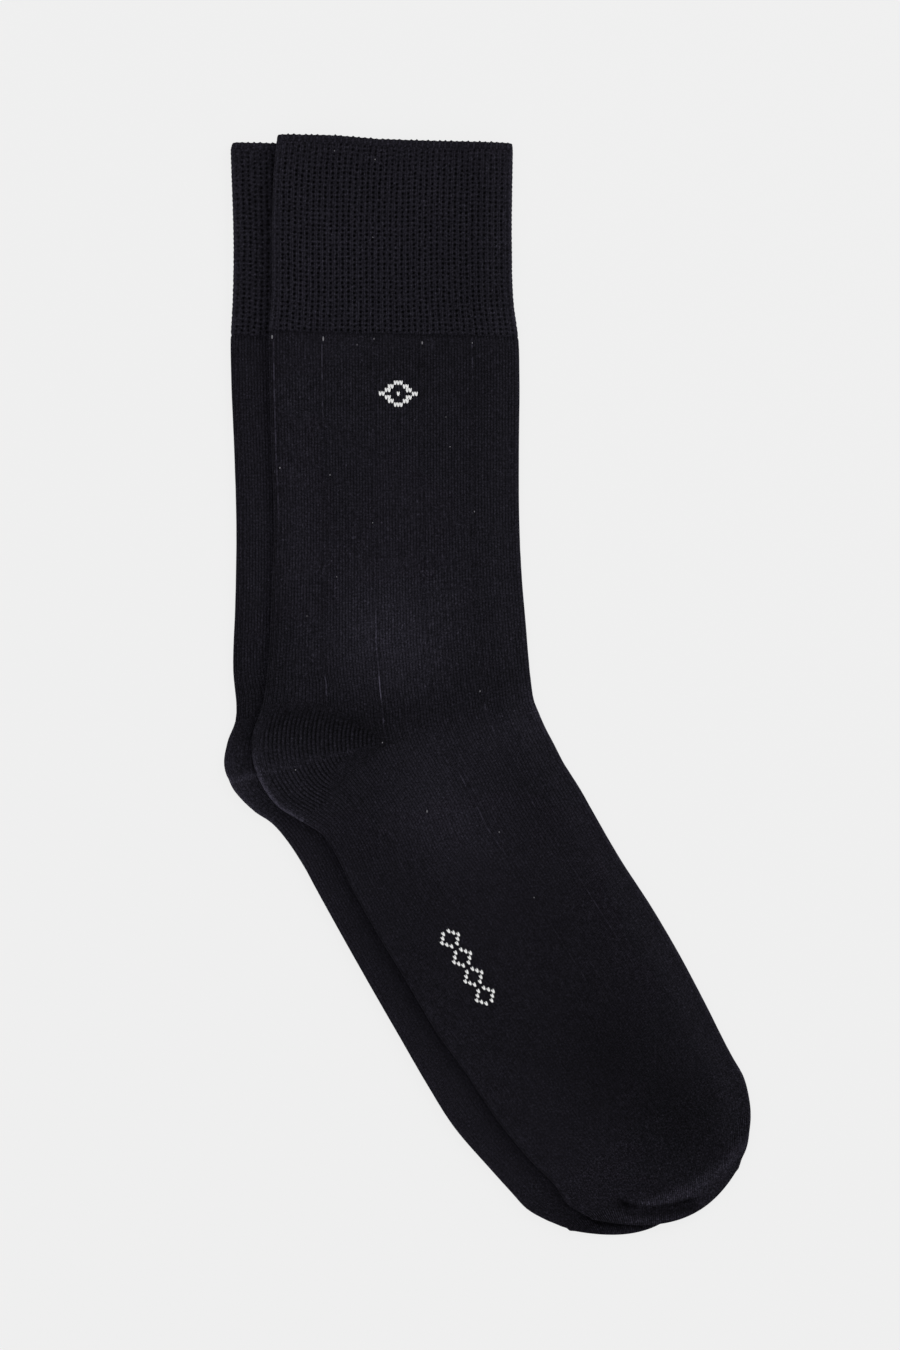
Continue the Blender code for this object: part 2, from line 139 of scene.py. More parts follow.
# Relief and painted shade of the pits, of the channels that they lie in, and of the grooves between their
# columns
PIT = (-0.80, -1.60)
CHANNEL = (-0.08, -0.04)
GROOVE = (-0.14, -0.34)
BAR_TONE = 0.45  # painted highlight on the yarn between two pits of a column
RIDGE_TONE = 0.75  # painted highlight on the yarn beside them
CUFF_DROP = 0.30  # how far the last row sinks to the leg
CUFF_DROP_RUN = 1.2
CUFF_GRAIN = 0.03
CUFF_YARN = 0.26  # random tone of the mesh's yarn
CUFF_FLUFF = (2.2, 0.997)  # tone of its specks of fluff, and the share of places without one

# Welt
WELT = 2.7  # height of the band
# Distance from the hem, and relief
WELT_LIP = (
    (0.0, -0.50),
    (0.12, -0.28),
    (0.35, -0.08),
    (0.8, 0.0),
    (1.3, 0.0),
    (1.8, 0.0),
    (2.2, -0.06),
    (2.5, -0.16),
    (WELT, -0.30),
)
WELT_INSIDE = (WELT, 2.0, 1.2, 0.3, 0.05)
WELT_STEPS = 4  # columns of the grid to a column of the cuff's pits
WELT_TEETH = 0.52  # how far the loops of the edge stand out
WELT_TEETH_RUN = 1.2
WELT_BUMPS = 0.14
WELT_TONE = 0.50

# Leg
LEG_ROWS = 44
LEG_INSIDE_ROWS = 12
LEG_HEAD_ROWS = (0.0, 0.6, 1.2, 2.0)  # the first rows, close together, from its start under the cuff
LEG_RIB_ENDS = (6.0, 40.0)  # how far past the gore its ribs fade out, on the heel and the instep side
LEG_TONE = 0.10
CUFF_SHADE = (0.25, 1.2)  # how dark it is where it comes out from under the cuff, and how far
LEG_OVERLAP = 1.0  # how far it goes in under the cuff
LEG_TUCK = 0.55  # how deep it lies there
LEG_TUCK_RUN = 1.6
LEG_WAVES = 0.10  # depth of the troughs between the wales
LEG_RIB = 0.04  # depth of an open rib
LEG_TURN = 38.0  # how far above the gore its rows begin to run up over the heel pocket

# Heel
HEEL_WALES = 32  # across one layer of the heel pocket
HEEL_STEPS = 4  # columns of the grid to a wale
HEEL_ROWS = (26, 30)  # above and below the gore
HEEL_INSIDE_ROWS = 12
HEEL_TOP_FADE = 9.0  # how far below the pocket's top its lines come in
HEEL_SIDE_FADE = (1.6, 3.6)  # where they begin by the back fold, and over how far
HEEL_POINT_FADE = 7.0  # over how far they come in from the gore's point
HEEL_LINES = (0.78, 1.35)  # tone between the lines, and how much darker a line is: painted shade in the troughs between the wales
UNDER_HEEL_LINES = 0.4  # how strong they are on the lower sock
HEEL_YARN = (0.16, 0.08)  # random tone of the upper and of the lower sock's yarn
HEEL_ARCH = 7.0  # rise of the line where the heel pocket joins the leg
HEEL_WAVES = 0.24
HEEL_GRAIN = 0.03
HEEL_RIM_HIGHLIGHT = 4.1  # painted highlight along the rim under the heel
GORE_WIDTH = 1.3
GORE = (0.16, 0.52)  # depth and tone of the gore line
HOLE = (0.14, 0.6)  # depth of its holes, and how dark their painted shade is
HOLE_SHARE = 0.6  # share of the gore's places without one

# Foot
FOOT_ROWS = 70
FOOT_INSIDE_ROWS = 18
# How far before its start, on the heel side, and before its end, on the instep side, the ribs fade out
FOOT_RIB_ENDS = (20.0, 12.0)
FOOT_TURN = 62.0  # how far past the gore its rows still run down round the heel pocket
FOOT_WAVES = 0.07
FOOT_RIB = 0.05

# Toe
TOE_ROWS = 26  # of its even part
# Groups of rows of its end: the first's and the last's distance from the end, and their number
TOE_END_ROWS = ((14.0, 10.8, 6), (10.4, 3.2, 21), (2.7, 0.9, 4))
TOE_LAST_ROWS = (0.45, 0.2, 0.05, 0.0)
TOE_INSIDE_ROWS = 10
TOE_WAVES = 0.07
TOE_RIDGES = 0.08  # how much deeper they are at the gathered end
TOE_COURSES = 1.25  # how much closer its courses are
TOE_REACH = 30.0  # nothing of the toe's own end reaches further from it than this
CAVITY_END = 9.5  # how far from the toe's end the inside stops

# White stitches of the motifs
LEG_MOTIF = (40.75, 94.4)  # wale and distance from the hem of the middle of the motif
FOOT_MOTIF = (64.25, 309.6)
LOBE_FOOT = 0.22  # how far across its half stitch a leaning lobe starts
LOBE_HEAD = 0.62  # and ends
LOBE_RISE = 0.08  # how far it passes the stitch's head
LOBE_HALF = (0.27, 0.62, 0.16)  # half width, half length as a share of its run, and half height
LOBE_LIFT = 0.05
FAR = 1e3  # added to the distances of points that a search leaves out

Section = namedtuple("Section", "name back_x back_y front_x front_y bow slip_x slip_y")
SECTIONS = (
    Section("hem", -77.5, 406.4, 9.1, 403.3, 0.0, -17.4, -2.8),
    Section("cuff_high", -78.8, 392.6, 8.9, 389.6, 0.0, -15.7, -2.2),
    Section("cuff_middle", -79.5, 369.3, 8.7, 366.7, 0.0, -14.3, -2.2),
    Section("cuff_low", -79.7, 345.2, 9.5, 343.0, 0.0, -14.5, -1.9),
    Section("cuff_end", -80.6, 333.4, 11.1, 331.2, 0.0, -14.2, -1.5),
    Section("leg_top", -80.5, 318.6, 11.5, 317.1, 0.0, -14.1, -2.2),
    Section("leg_high", -79.7, 289.7, 11.3, 289.7, 0.0, -13.7, -2.6),
    Section("leg_middle", -78.7, 263.8, 11.4, 265.3, 0.0, -14.0, -3.0),
    Section("leg_low", -79.6, 236.1, 12.4, 242.4, 0.0, -13.5, -3.0),
    Section("ankle", -80.7, 213.1, 13.9, 224.6, 0.0, -13.2, -3.7),
    Section("heel_top", -83.1, 195.0, 15.0, 211.3, 0.0, -10.0, -5.9),
    Section("heel_high", -86.5, 184.3, 15.9, 203.1, 0.0, -9.5, -3.0),
    Section("heel_back", -86.6, 175.8, 16.8, 197.2, 0.0, -10.5, -3.0),
    Section("heel_low", -84.2, 168.0, 18.7, 192.4, 0.0, -10.0, -3.0),
    Section("heel_turn", -77.9, 158.7, 21.1, 186.9, 0.0, -8.5, -2.2),
    Section("heel_sole", -68.3, 152.4, 24.4, 180.6, 0.0, -11.5, -0.4),
    Section("heel_end", -60.5, 147.3, 27.6, 174.3, 0.0, -13.5, -1.9),
    Section("sole_start", -55.3, 139.1, 30.3, 170.0, 0.0, -12.6, -3.0),
    Section("arch_high", -50.9, 129.9, 33.9, 164.3, 0.0, -12.6, -1.9),
    Section("arch", -43.1, 115.4, 38.3, 156.5, 0.0, -12.4, -1.9),
    Section("foot_high", -30.2, 94.0, 49.0, 138.0, 0.0, -13.1, -2.2),
    Section("foot_middle", -18.8, 74.7, 60.5, 120.3, 0.0, -13.4, -2.2),
    Section("foot_low", -7.6, 59.2, 70.1, 104.0, 0.0, -15.2, -3.0),
    Section("ball", 4.6, 41.1, 80.5, 84.4, 0.0, -16.3, -2.4),
    Section("toe_start", 16.5, 26.6, 87.9, 69.6, 0.0, -17.8, 0.0),
    Section("toe_cap", 25.0, 18.1, 90.7, 64.4, 0.5, -15.9, -3.0),
    Section("toe_high", 29.0, 12.0, 94.9, 56.6, 1.5, -14.4, -2.8),
    Section("toe_middle", 33.1, 8.7, 97.1, 45.5, 3.0, -11.8, -3.5),
    Section("toe_low", 35.7, 7.2, 96.8, 38.1, 5.9, -10.0, -3.9),
    Section("toe_last", 37.1, 6.4, 95.5, 31.0, 8.3, -9.0, -4.1),
    Section("toe_end", 38.7, 5.9, 92.3, 24.4, 10.5, -8.1, -4.3),
)

# How much wider than even the wales lie on the instep side
SPREADS = (
    ("hem", 0.985),
    ("cuff_end", 0.997),
    ("leg_high", 1.004),
    ("leg_middle", 1.012),
    ("ankle", 0.996),
    ("heel_top", 0.958),
    ("heel_high", 0.910),
    ("heel_low", 0.912),
    ("heel_turn", 0.918),
    ("heel_sole", 0.96),
    ("heel_end", 1.005),
    ("arch_high", 1.034),
    ("arch", 1.0),
    ("foot_high", 0.965),
    ("toe_end", 0.98),
)
PAIR_MIDDLE_Y = SECTIONS[0].back_y - cad_box[1].y / MM  # the frame's origin in the tables' y

# Swells and creases of the upper layer: middle, half length and width, turn of the length from +X, and height
Fold = namedtuple("Fold", "name x y length width turn height")
SWELLS = (
    Fold("calf", -40.0, 226.0, 30.0, 19.0, 90.0, 0.9),
    Fold("shin", -8.0, 262.0, 34.0, 10.0, 84.0, 0.35),
    Fold("heel_pocket", -66.0, 176.0, 15.0, 12.0, 60.0, 1.1),
    Fold("ankle_bend", 6.0, 197.0, 9.0, 6.0, 100.0, 0.5),
    Fold("instep", -17.0, 156.0, 24.0, 15.0, -60.0, 1.0),
    Fold("arch_fold", 5.0, 132.0, 18.0, 5.0, 28.0, 0.4),
    Fold("toe_crown", 56.0, 46.0, 22.0, 17.0, -60.0, 0.6),
)
CREASES = (
    Fold("leg_crease", -34.0, 253.5, 30.0, 1.9, 1.0, -0.28),
    Fold("leg_crease_high", -46.0, 278.0, 22.0, 1.6, -2.0, -0.16),
    Fold("leg_crease_front", -4.0, 284.0, 13.0, 1.7, 4.0, -0.14),
    Fold("calf_crease", -55.0, 236.0, 13.0, 1.8, 14.0, -0.18),
    Fold("shin_crease", -2.0, 240.0, 12.0, 1.7, -9.0, -0.20),
    Fold("heel_trough", -50.0, 193.5, 26.0, 2.6, 3.0, -0.34),
    Fold("bend_crease", 5.0, 203.0, 9.0, 1.6, 22.0, -0.26),
    Fold("bend_crease_low", 9.0, 188.0, 10.0, 1.8, 33.0, -0.22),
    Fold("instep_crease", 17.0, 127.0, 17.0, 1.6, 31.0, 0.24),
    Fold("instep_crease_low", 26.0, 108.0, 12.0, 1.8, 37.0, -0.16),
    Fold("arch_crease", -14.0, 120.0, 15.0, 1.9, 22.0, -0.22),
    Fold("sole_crease", -16.0, 88.0, 12.0, 1.6, 44.0, -0.18),
    Fold("ball_crease", 34.0, 80.0, 15.0, 2.2, 38.0, -0.20),
    Fold("toe_crease", 48.0, 56.0, 19.0, 2.4, 40.0, -0.24),
)

# Painted sheen on the swells and painted shade in the troughs and folds, partly also stretched, lighter and
# slack, darker cloth
SHEEN_AND_SHADE_PATCHES = (
    Fold("leg", -40.0, 262.0, 48.0, 20.0, 90.0, 0.10),
    Fold("cuff_back", -60.0, 350.0, 26.0, 13.0, 90.0, 0.10),
    Fold("cuff_front", 2.0, 358.0, 32.0, 12.0, 90.0, -0.20),
    Fold("leg_back", -69.4, 259.0, 40.0, 5.0, 90.0, 0.26),
    Fold("leg_back_low", -80.0, 216.0, 16.0, 7.0, 90.0, -0.14),
    Fold("calf", -40.0, 222.0, 18.0, 12.0, 80.0, 0.66),
    Fold("calf_front", -24.0, 216.0, 14.0, 8.0, 84.0, 0.34),
    Fold("shin", -10.0, 250.0, 22.0, 9.0, 88.0, 0.10),
    Fold("ankle_band", 5.5, 184.5, 16.0, 6.0, 24.0, 0.26),
    Fold("ankle_rim", 18.0, 193.0, 8.0, 1.3, -63.0, 0.6),
    Fold("instep", -18.0, 156.0, 17.0, 11.0, -58.0, 0.66),
    Fold("heel_lower", -76.0, 168.0, 11.0, 7.0, -50.0, 0.34),
    Fold("instep_side", 46.0, 110.0, 30.0, 8.0, -60.0, -0.08),
    Fold("heel_upper", -58.0, 190.5, 20.0, 5.5, 0.0, -0.42),
    Fold("gore_front", -44.0, 184.0, 8.0, 6.0, 10.0, -0.28),
    Fold("ankle", -22.0, 195.0, 16.0, 5.0, 8.0, -0.16),
    Fold("ankle_back", -56.0, 205.0, 14.0, 6.0, 0.0, -0.13),
    Fold("ankle_front", 8.0, 202.0, 7.0, 5.0, 20.0, -0.16),
    Fold("ankle_low", -27.0, 166.0, 10.0, 5.0, 10.0, -0.18),
    Fold("foot_back", -17.0, 100.0, 32.0, 10.0, -56.0, -0.08),
    Fold("foot", 24.0, 92.0, 40.0, 22.0, -56.0, -0.17),
    Fold("ball", 46.0, 66.0, 17.0, 15.0, -52.0, -0.34),
    Fold("toe", 72.0, 42.0, 15.0, 13.0, -60.0, -0.46),
)

# Where a rib's floating yarn catches the light: the rib's wale, between which heights, and how strongly
Lit = namedtuple("Lit", "wale top bottom strength")
LIT_RIBS = (
    Lit(82, 331.0, 284.0, 1.0),
    Lit(82, 284.0, 256.0, 0.7),
    Lit(66, 332.0, 300.0, 0.85),
    Lit(66, 290.0, 286.0, 0.9),
    Lit(66, 206.5, 196.0, 1.1),
    Lit(49, 330.0, 262.0, 0.25),
    Lit(49, 232.0, 207.0, 1.2),
    Lit(49, 208.0, 195.0, 2.2),
    Lit(49, 196.5, 183.0, 1.1),
    Lit(33, 331.0, 325.0, 0.5),
    Lit(16, 332.0, 314.0, 0.85),
    Lit(16, 199.0, 183.0, 0.7),
    Lit(33, 172.0, 139.0, 0.6),
    Lit(33, 116.0, 92.0, 0.4),
    Lit(16, 166.0, 147.0, 0.5),
    Lit(16, 138.0, 98.0, 0.4),
)

# The lip of the tuck in the end of the toe, from its heel side, and how the cloth lies on each side of it:
# distance inside the lip, share of the sock's thickness, and tone: painted shade in the tuck, painted
# highlight on the lip
LIP = (
    (46.4, 14.6),
    (49.0, 12.8),
    (52.7, 11.0),
    (56.4, 10.3),
    (60.1, 10.1),
    (63.8, 10.4),
    (68.3, 11.2),
    (73.1, 12.4),
    (76.8, 13.3),
    (80.1, 14.6),
)
LIP_SLIP = (-11.5, -3.6)
Tuck = namedtuple("Tuck", "inside share tone")
TOE_TUCK = (
    Tuck(-9.0, 0.60, 0.0),
    Tuck(-5.6, 0.60, 0.15),
    Tuck(-4.6, 0.52, -0.15),
    Tuck(-3.7, 0.38, -0.78),
    Tuck(-0.6, 0.30, -0.97),
    Tuck(-0.2, 0.50, -0.80),
    Tuck(0.15, 0.90, 0.05),
    Tuck(0.6, 1.0, 0.10),
    Tuck(2.5, 1.04, 0.05),
    Tuck(5.0, 1.0, 0.0),
)
LIP_OPENS = 0.22  # share of the lip's length over which the tuck opens, and closes again
TUCK_REACH = 9.0  # how far from the lip the tuck is gone
TUCK_FADE = 3.0
# Painted highlight on the rolled end of the toe, by distance from the end
END_HIGHLIGHT = ((0.0, 0.46), (3.0, 0.48), (5.0, 0.64), (8.0, 1.30), (9.5, 1.05), (12.5, 0.0))
END_HIGHLIGHT_BACK = (0.10, 0.34)  # the shares across between which it comes in


def ease(value):
    """0 below 0, 1 above 1, and smooth between."""
    value = np.clip(value, 0.0, 1.0)
    return value * value * (3.0 - 2.0 * value)


def bell(distance, reach):
    """1 at no distance, and nearly 0 at twice the reach."""
    return np.exp(-((distance / reach) ** 2))


def ripple(count):
    """1 at each whole number and 0 halfway between."""
    return 0.5 + 0.5 * np.cos(2 * np.pi * count)


def join_ends(values):
    """Gives the last column of a ring the values of the first."""
    values[:, -1] = values[:, 0]
    return values


def smooth_through(knots, values, at):
    """Values on a smooth curve through the knots, one row for each place in at."""
    slopes = np.gradient(values, knots, axis=0)
    left = np.clip(np.searchsorted(knots, at, side="right") - 1, 0, len(knots) - 2)
    span = (knots[left + 1] - knots[left])[:, None]
    t = (np.asarray(at)[:, None] - knots[left][:, None]) / span
    start = (2 * t**3 - 3 * t**2 + 1) * values[left] + (t**3 - 2 * t**2 + t) * span * slopes[left]
    end = (3 * t**2 - 2 * t**3) * values[left + 1] + (t**3 - t**2) * span * slopes[left + 1]
    return start + end


def unit(vectors):
    return vectors / np.linalg.norm(vectors, axis=-1, keepdims=True)


def thickness(wall):
    """The thickness of a flat sock of this wall."""
    return 2 * wall + LAYER_GAP


def mound(points, folds, slip=(0.0, 0.0)):
    """The sum of these folds at plan points."""
    total = np.zeros(points.shape[:-1])
    for fold in folds:
        turn = np.radians(fold.turn)
        x = points[..., 0] - fold.x - slip[0]
        y = points[..., 1] - fold.y - slip[1]
        along = (x * np.cos(turn) + y * np.sin(turn)) / fold.length
        across = (y * np.cos(turn) - x * np.sin(turn)) / fold.width
        total += fold.height * np.exp(-(along**2 + across**2) / 2)
    return total


def distance_outside(points, outline):
    """How far each point is outside a closed outline; 0 for a point inside it."""
    flat = points.reshape(-1, 2)
    found = np.full(len(flat), np.inf)
    inside = np.zeros(len(flat), bool)
    for start, after in zip(outline, np.roll(outline, -1, axis=0)):
        along = after - start
        offset = flat - start
        share = np.clip(offset @ along / max(along @ along, 1e-9), 0.0, 1.0)
        found = np.minimum(found, np.linalg.norm(offset - share[:, None] * along, axis=1))
        if along[1] != 0:
            between = (start[1] > flat[:, 1]) != (after[1] > flat[:, 1])
            inside ^= between & (flat[:, 0] < start[0] + (flat[:, 1] - start[1]) / along[1] * along[0])
    return np.where(inside, 0.0, found).reshape(points.shape[:-1])


# One set of rows across a sock. Each runs straight from its front end to the middle, where the apex wale
# crosses it, and from there to its back end, arched towards the hem by its arch
Rows = namedtuple("Rows", "places front middle back arch")


class Form:
    """The shape of one sock: its plan, and the heights of its two layers."""

    def __init__(self, name, under, below=None):
        self.name = name
        rows = []
        for part in SECTIONS:
            back = np.array([part.back_x, part.back_y])
            front = np.array([part.front_x, part.front_y])
            if under:
                back = back + (part.slip_x, part.slip_y)
                front = front + FRONT_SLIP
            rows.append([*back, *front, part.bow])
        self.values = np.array(rows)
        middles = (self.values[:, 0:2] + self.values[:, 2:4]) / 2 + self.bow_offset(self.values)
        steps = np.linalg.norm(np.diff(middles, axis=0), axis=1)
        self.knots = np.concatenate([[0.0], np.cumsum(steps)])
        self.length = self.knots[-1]
        self.slip = FRONT_SLIP if under else (0.0, 0.0)
        self.swell_share = UNDER_SWELL if under else 1.0
        self.below = below
        self.is_under = below is None
        self.cuff_end = self.place("cuff_end")
        self.heel_top = self.place("heel_top")
        self.gore = 0.3 * self.place("heel_back") + 0.7 * self.place("heel_low")
        self.heel_sole = self.place("heel_sole")
        self.toe_cap = self.place("toe_cap")
        self.outline = self.plan_outline()

    @staticmethod
    def bulge(shares):
        """Share of its bow that a line has at each share of the way across."""
        return 4 * shares * (1 - shares) * (1 + BOW_LEAN * (2 * shares - 1))

    @staticmethod
    def bow_offset(rows):
        """The shift of a line's middle towards the toe."""
        across = unit(rows[:, 2:4] - rows[:, 0:2])
        return np.stack([across[:, 1], -across[:, 0]], axis=1) * rows[:, 4:5]

    def place(self, name):
        """The distance from the hem to a named section."""
        return self.knots[[part.name for part in SECTIONS].index(name)]

    def lines(self, places):
        return smooth_through(self.knots, self.values, np.atleast_1d(places))

    def widths(self, places):
        rows = self.lines(places)
        return np.linalg.norm(rows[:, 2:4] - rows[:, 0:2], axis=1)

    def plan_outline(self):
        """The closed plan outline, carried on past the hem."""
        rows = self.lines(np.linspace(0.0, self.length, 120))
        shares = np.linspace(0.0, 1.0, 20)[1:-1, None]
        last = rows[-1]
        end = last[0:2] + (last[2:4] - last[0:2]) * shares
        end = end + self.bow_offset(rows[-1:]) * self.bulge(shares)
        lift = np.array([0.0, HEM_REACH])
        back, front = rows[:, 0:2], rows[:, 2:4]
        return np.concatenate([[back[0] + lift], back, end, front[::-1], [front[0] + lift]])

    def arc_across(self, places):
        """Length of one layer across, from fold to fold."""
        return self.widths(places) + (np.pi - 2) * FOLD_RADIUS

    def spread(self, places):
        return np.interp(places, [self.place(name) for name, _ in SPREADS], [value for _, value in SPREADS])

    def apex_arc(self, places):
        """Arc from the front fold to the apex wale."""
        return APEX_WALE / FACE_WALES * self.arc_across(places) * self.spread(places)

    def rows(self, places, back_places=None, arch=0.0):
        """Rows at these places, whose back ends may lie at places of their own."""
        lines = self.lines(places)
        front, straight_back = lines[:, 2:4], lines[:, 0:2]
        from_front = self.apex_arc(places) - (np.pi / 2 - 1) * FOLD_RADIUS
        middle = front + unit(straight_back - front) * from_front[:, None]
        back = straight_back if back_places is None else self.lines(back_places)[:, 0:2]
        return Rows(places, front, middle, back, np.broadcast_to(arch, places.shape))

    def walls(self, places):
        return WALL + (CUFF_WALL - WALL) * (places < self.cuff_end)

    def support(self, points):
        """The height that the sock's underside lies at."""
        if self.below is None:
            return np.zeros(points.shape[:-1])
        below = self.below
        line = below.lines(below.cuff_end)[0]
        cuff_y = min(line[1], line[3])
        in_cuff = ease((points[..., 1] - cuff_y + SUPPORT_LEAD) / (SUPPORT_LEAD - CUFF_STEP))
        flat = thickness(WALL) + (thickness(CUFF_WALL) - thickness(WALL)) * in_cuff
        swell = below.swell_share * mound(points, SWELLS, below.slip)
        outside = distance_outside(points, below.outline)
        return (flat + swell + SOCK_GAP) * (1 - ease((outside - DROOP_START) / DROOP_RUN))


def around(fold_arc):
    """How far in from a fold a point at this arc lies, and how much it faces outwards and upwards."""
    angle = np.clip(fold_arc / FOLD_RADIUS, 0.0, np.pi / 2)
    straight = np.maximum(fold_arc - FOLD_RADIUS * np.pi / 2, 0.0)
    return FOLD_RADIUS * (1 - np.cos(angle)) + straight, np.cos(angle), np.sin(angle)


def beside(points, line):
    """How far each point is to the left of an open line, and at what share of its length."""
    line = np.array(line)
    steps = np.linalg.norm(np.diff(line, axis=0), axis=1)
    run = np.concatenate([[0.0], np.cumsum(steps)])
    away, left, share = (np.full(points.shape[:-1], value) for value in (np.inf, 0.0, 0.0))
    for start, after, begun, step in zip(line, line[1:], run, steps):
        along = (after - start) / step
        offset = points - start
        reached = offset @ along
        distance = np.linalg.norm(offset - np.clip(reached, 0.0, step)[..., None] * along, axis=-1)
        nearer = distance < away
        side = np.sign(along[0] * offset[..., 1] - along[1] * offset[..., 0])
        away, left = np.where(nearer, distance, away), np.where(nearer, side * distance, left)
        share = np.where(nearer, (begun + reached) / run[-1], share)
    return left, share


def tuck_share(form, plan, column):
    """A column of the toe's tuck at each point, and how open the tuck is there."""
    inside, share = beside(plan - (LIP_SLIP if form.is_under else (0.0, 0.0)), LIP)
    value = np.interp(inside, [row.inside for row in TOE_TUCK], [getattr(row, column) for row in TOE_TUCK])
    opened = ease(share / LIP_OPENS) * ease((1 - share) / LIP_OPENS)
    return value, opened * ease((TUCK_REACH - np.abs(inside)) / TUCK_FADE)


HEMWARD = unit(np.array([0.05, 1.0]))  # the way in which the rows of the heel are arched


class Wrap:
    """A knitted grid wrapped round a sock: where each point of its rows lies."""

    def __init__(self, form, rows, turns):
        self.form, self.rows, self.turns = form, rows, turns
        wales = np.where(turns <= FACE_WALES, turns, 2 * FACE_WALES - turns)
        self.upper = np.where(turns <= FACE_WALES, 1.0, -1.0)[None, :]
        in_front = wales <= APEX_WALE
        width = form.widths(rows.places)[:, None]
        # a point's arc is measured from the fold on its own side of the apex wale
        front_arc = wales / APEX_WALE * form.apex_arc(rows.places)[:, None]
        back_length = np.linalg.norm(rows.middle - rows.back, axis=1)[:, None]
        back_arc = (FACE_WALES - wales) / (FACE_WALES - APEX_WALE)
        back_arc = back_arc * (back_length + (np.pi / 2 - 1) * FOLD_RADIUS)
        inward, outward, upward = around(np.where(in_front, front_arc, back_arc))
        fold = np.where(in_front[None, :, None], rows.front[:, None], rows.back[:, None])
        self.way_in = np.where(
            in_front[None, :, None],
            unit(rows.middle - rows.front)[:, None],
            ((rows.middle - rows.back) / np.maximum(back_length, 1e-6))[:, None],
        )
        self.plan = fold + self.way_in * inward[..., None]
        self.shares = np.where(in_front, 1 - inward / width, inward / width)
        lines = form.lines(rows.places)
        self.plan += form.bow_offset(lines)[:, None] * form.bulge(self.shares)[..., None]
        along = np.where(in_front, 0.0, np.clip(inward / np.maximum(back_length, 1e-6), 0.0, 1.0))
        self.plan += (rows.arch[:, None] * 4 * along * (1 - along))[..., None] * HEMWARD
        self.side, self.outward, self.upward = inward, outward, upward
        self.wales = wales
        # the hem waves, and its corners are drawn in
        by_hem = 1 - ease(rows.places / HEM_WAVE_RUN)[:, None]
        self.lift = np.interp(self.shares, *zip(*HEM_WAVE)) * by_hem
        corner = np.where(in_front, FRONT_CORNER_INSET, BACK_CORNER_INSETS[not form.is_under])
        corner = corner * np.exp(-inward / CORNER_RUN) * (1 - ease(rows.places / CORNER_RUN))[:, None]
        self.plan = self.plan + self.way_in * corner[..., None]
        self.base = form.support(self.plan)
        across = unit(lines[:, 2:4] - lines[:, 0:2])
        reach = END_OUT * (1 - ease((form.length - rows.places) / END_OUT_RUN))
        self.end_out = (np.stack([across[:, 1], -across[:, 0]], axis=1) * reach[:, None])[:, None]

    def in_toe(self):
        return (self.form.length - self.rows.places).min() <= TOE_REACH

    def full(self):
        """Thickness of the pressed sock at each point."""
        form, places = self.form, self.rows.places
        from_end = (form.length - places)[:, None]
        flat = thickness(form.walls(places))[:, None]
        edge = ease(np.minimum(self.side, from_end) / SWELL_EDGE) * ease(places / SWELL_EDGE)[:, None]
        full = flat + form.swell_share * mound(self.plan, SWELLS, form.slip) * edge
        if not self.in_toe():
            return full
        tuck, opened = tuck_share(form, self.plan, "share")
        return full + (tuck * thickness(WALL) - full) * opened

    def points(self, relief, zipped=None):
        """Points at this relief out of the layers' outside. A zipped row's two layers meet."""
        form = self.form
        full = self.full()
        rise = self.upward * self.upper
        if zipped is not None:
            rise = rise * zipped[:, None]
        height = full / 2 + full / 2 * rise + relief * rise
        plan = self.plan - self.way_in * (self.outward * (relief + RIM_OUT))[..., None]
        plan[..., 1] += self.lift
        plan = plan + self.end_out
        return np.dstack([plan, height + self.base])


def wrap_pair(form, rows_of, places, inner_places, turns):
    """The grids of a piece's outside and of its plain inside."""
    return Wrap(form, rows_of(form, places), turns), Wrap(form, rows_of(form, inner_places), turns)


def knit_waves(wales, depth):
    """Troughs between wales."""
    return -depth * ripple(wales) ** 1.5


def rib_values(wrap, last_places):
    """How near each point is to the middle of a drop-needle rib, and how open the rib is there.

    last_places are where the ribs of the heel side and of the instep side end.
    """
    form, places = wrap.form, wrap.rows.places
    near, opened = (np.zeros((len(places), len(wrap.turns))) for _ in range(2))
    for ribs, layer in ((UPPER_RIBS, 1.0), (LOWER_RIBS, -1.0)):
        for rib in ribs:
            in_front = rib < APEX_WALE
            run = ease(places - form.cuff_end - RIB_START) * ease((last_places[in_front] - places) / RIB_FADE)
            run = run * (1 - BEND_SHUTS * bell(places - form.gore + BEND_LEAD, BEND_RUN) * in_front)
            tent = np.maximum(1 - np.abs(wrap.wales - rib), 0.0) * (wrap.upper[0] == layer)
            near += tent[None, :] * np.ones((len(places), 1))
            opened += run[:, None] * (tent > 0)[None, :]
    return near, opened


def lit_ribs(wrap):
    """How strongly the ribs' yarn catches the light at each point: only on the upper sock."""
    lit = np.zeros(wrap.plan.shape[:2])
    if wrap.form.is_under:
        return lit
    height = wrap.plan[..., 1] - wrap.form.slip[1]
    for part in LIT_RIBS:
        near = (np.abs(wrap.wales - part.wale) < 1.0) & (wrap.upper[0] > 0)
        within = ease((part.top - height) / LIT_FADES[0]) * ease((height - part.bottom) / LIT_FADES[1])
        lit = np.maximum(lit, part.strength * within * near[None, :])
    return lit


def lay_grid(name, turn_count, row_count):
    """A flat grid of knitting with its loops' columns and rows."""
    bpy.ops.mesh.primitive_grid_add(
        x_subdivisions=turn_count - 1, y_subdivisions=row_count - 1, size=1.0, location=(0.0, 0.0, 0.0)
    )
    piece = bpy.context.object
    piece.name = piece.data.name = name
    flat = np.zeros(len(piece.data.vertices) * 3)
    piece.data.vertices.foreach_get("co", flat)
    flat = flat.reshape(-1, 3)
    column = np.rint((flat[:, 0] + 0.5) * (turn_count - 1)).astype(int)
    row = np.rint((flat[:, 1] + 0.5) * (row_count - 1)).astype(int)
    return piece, column, row


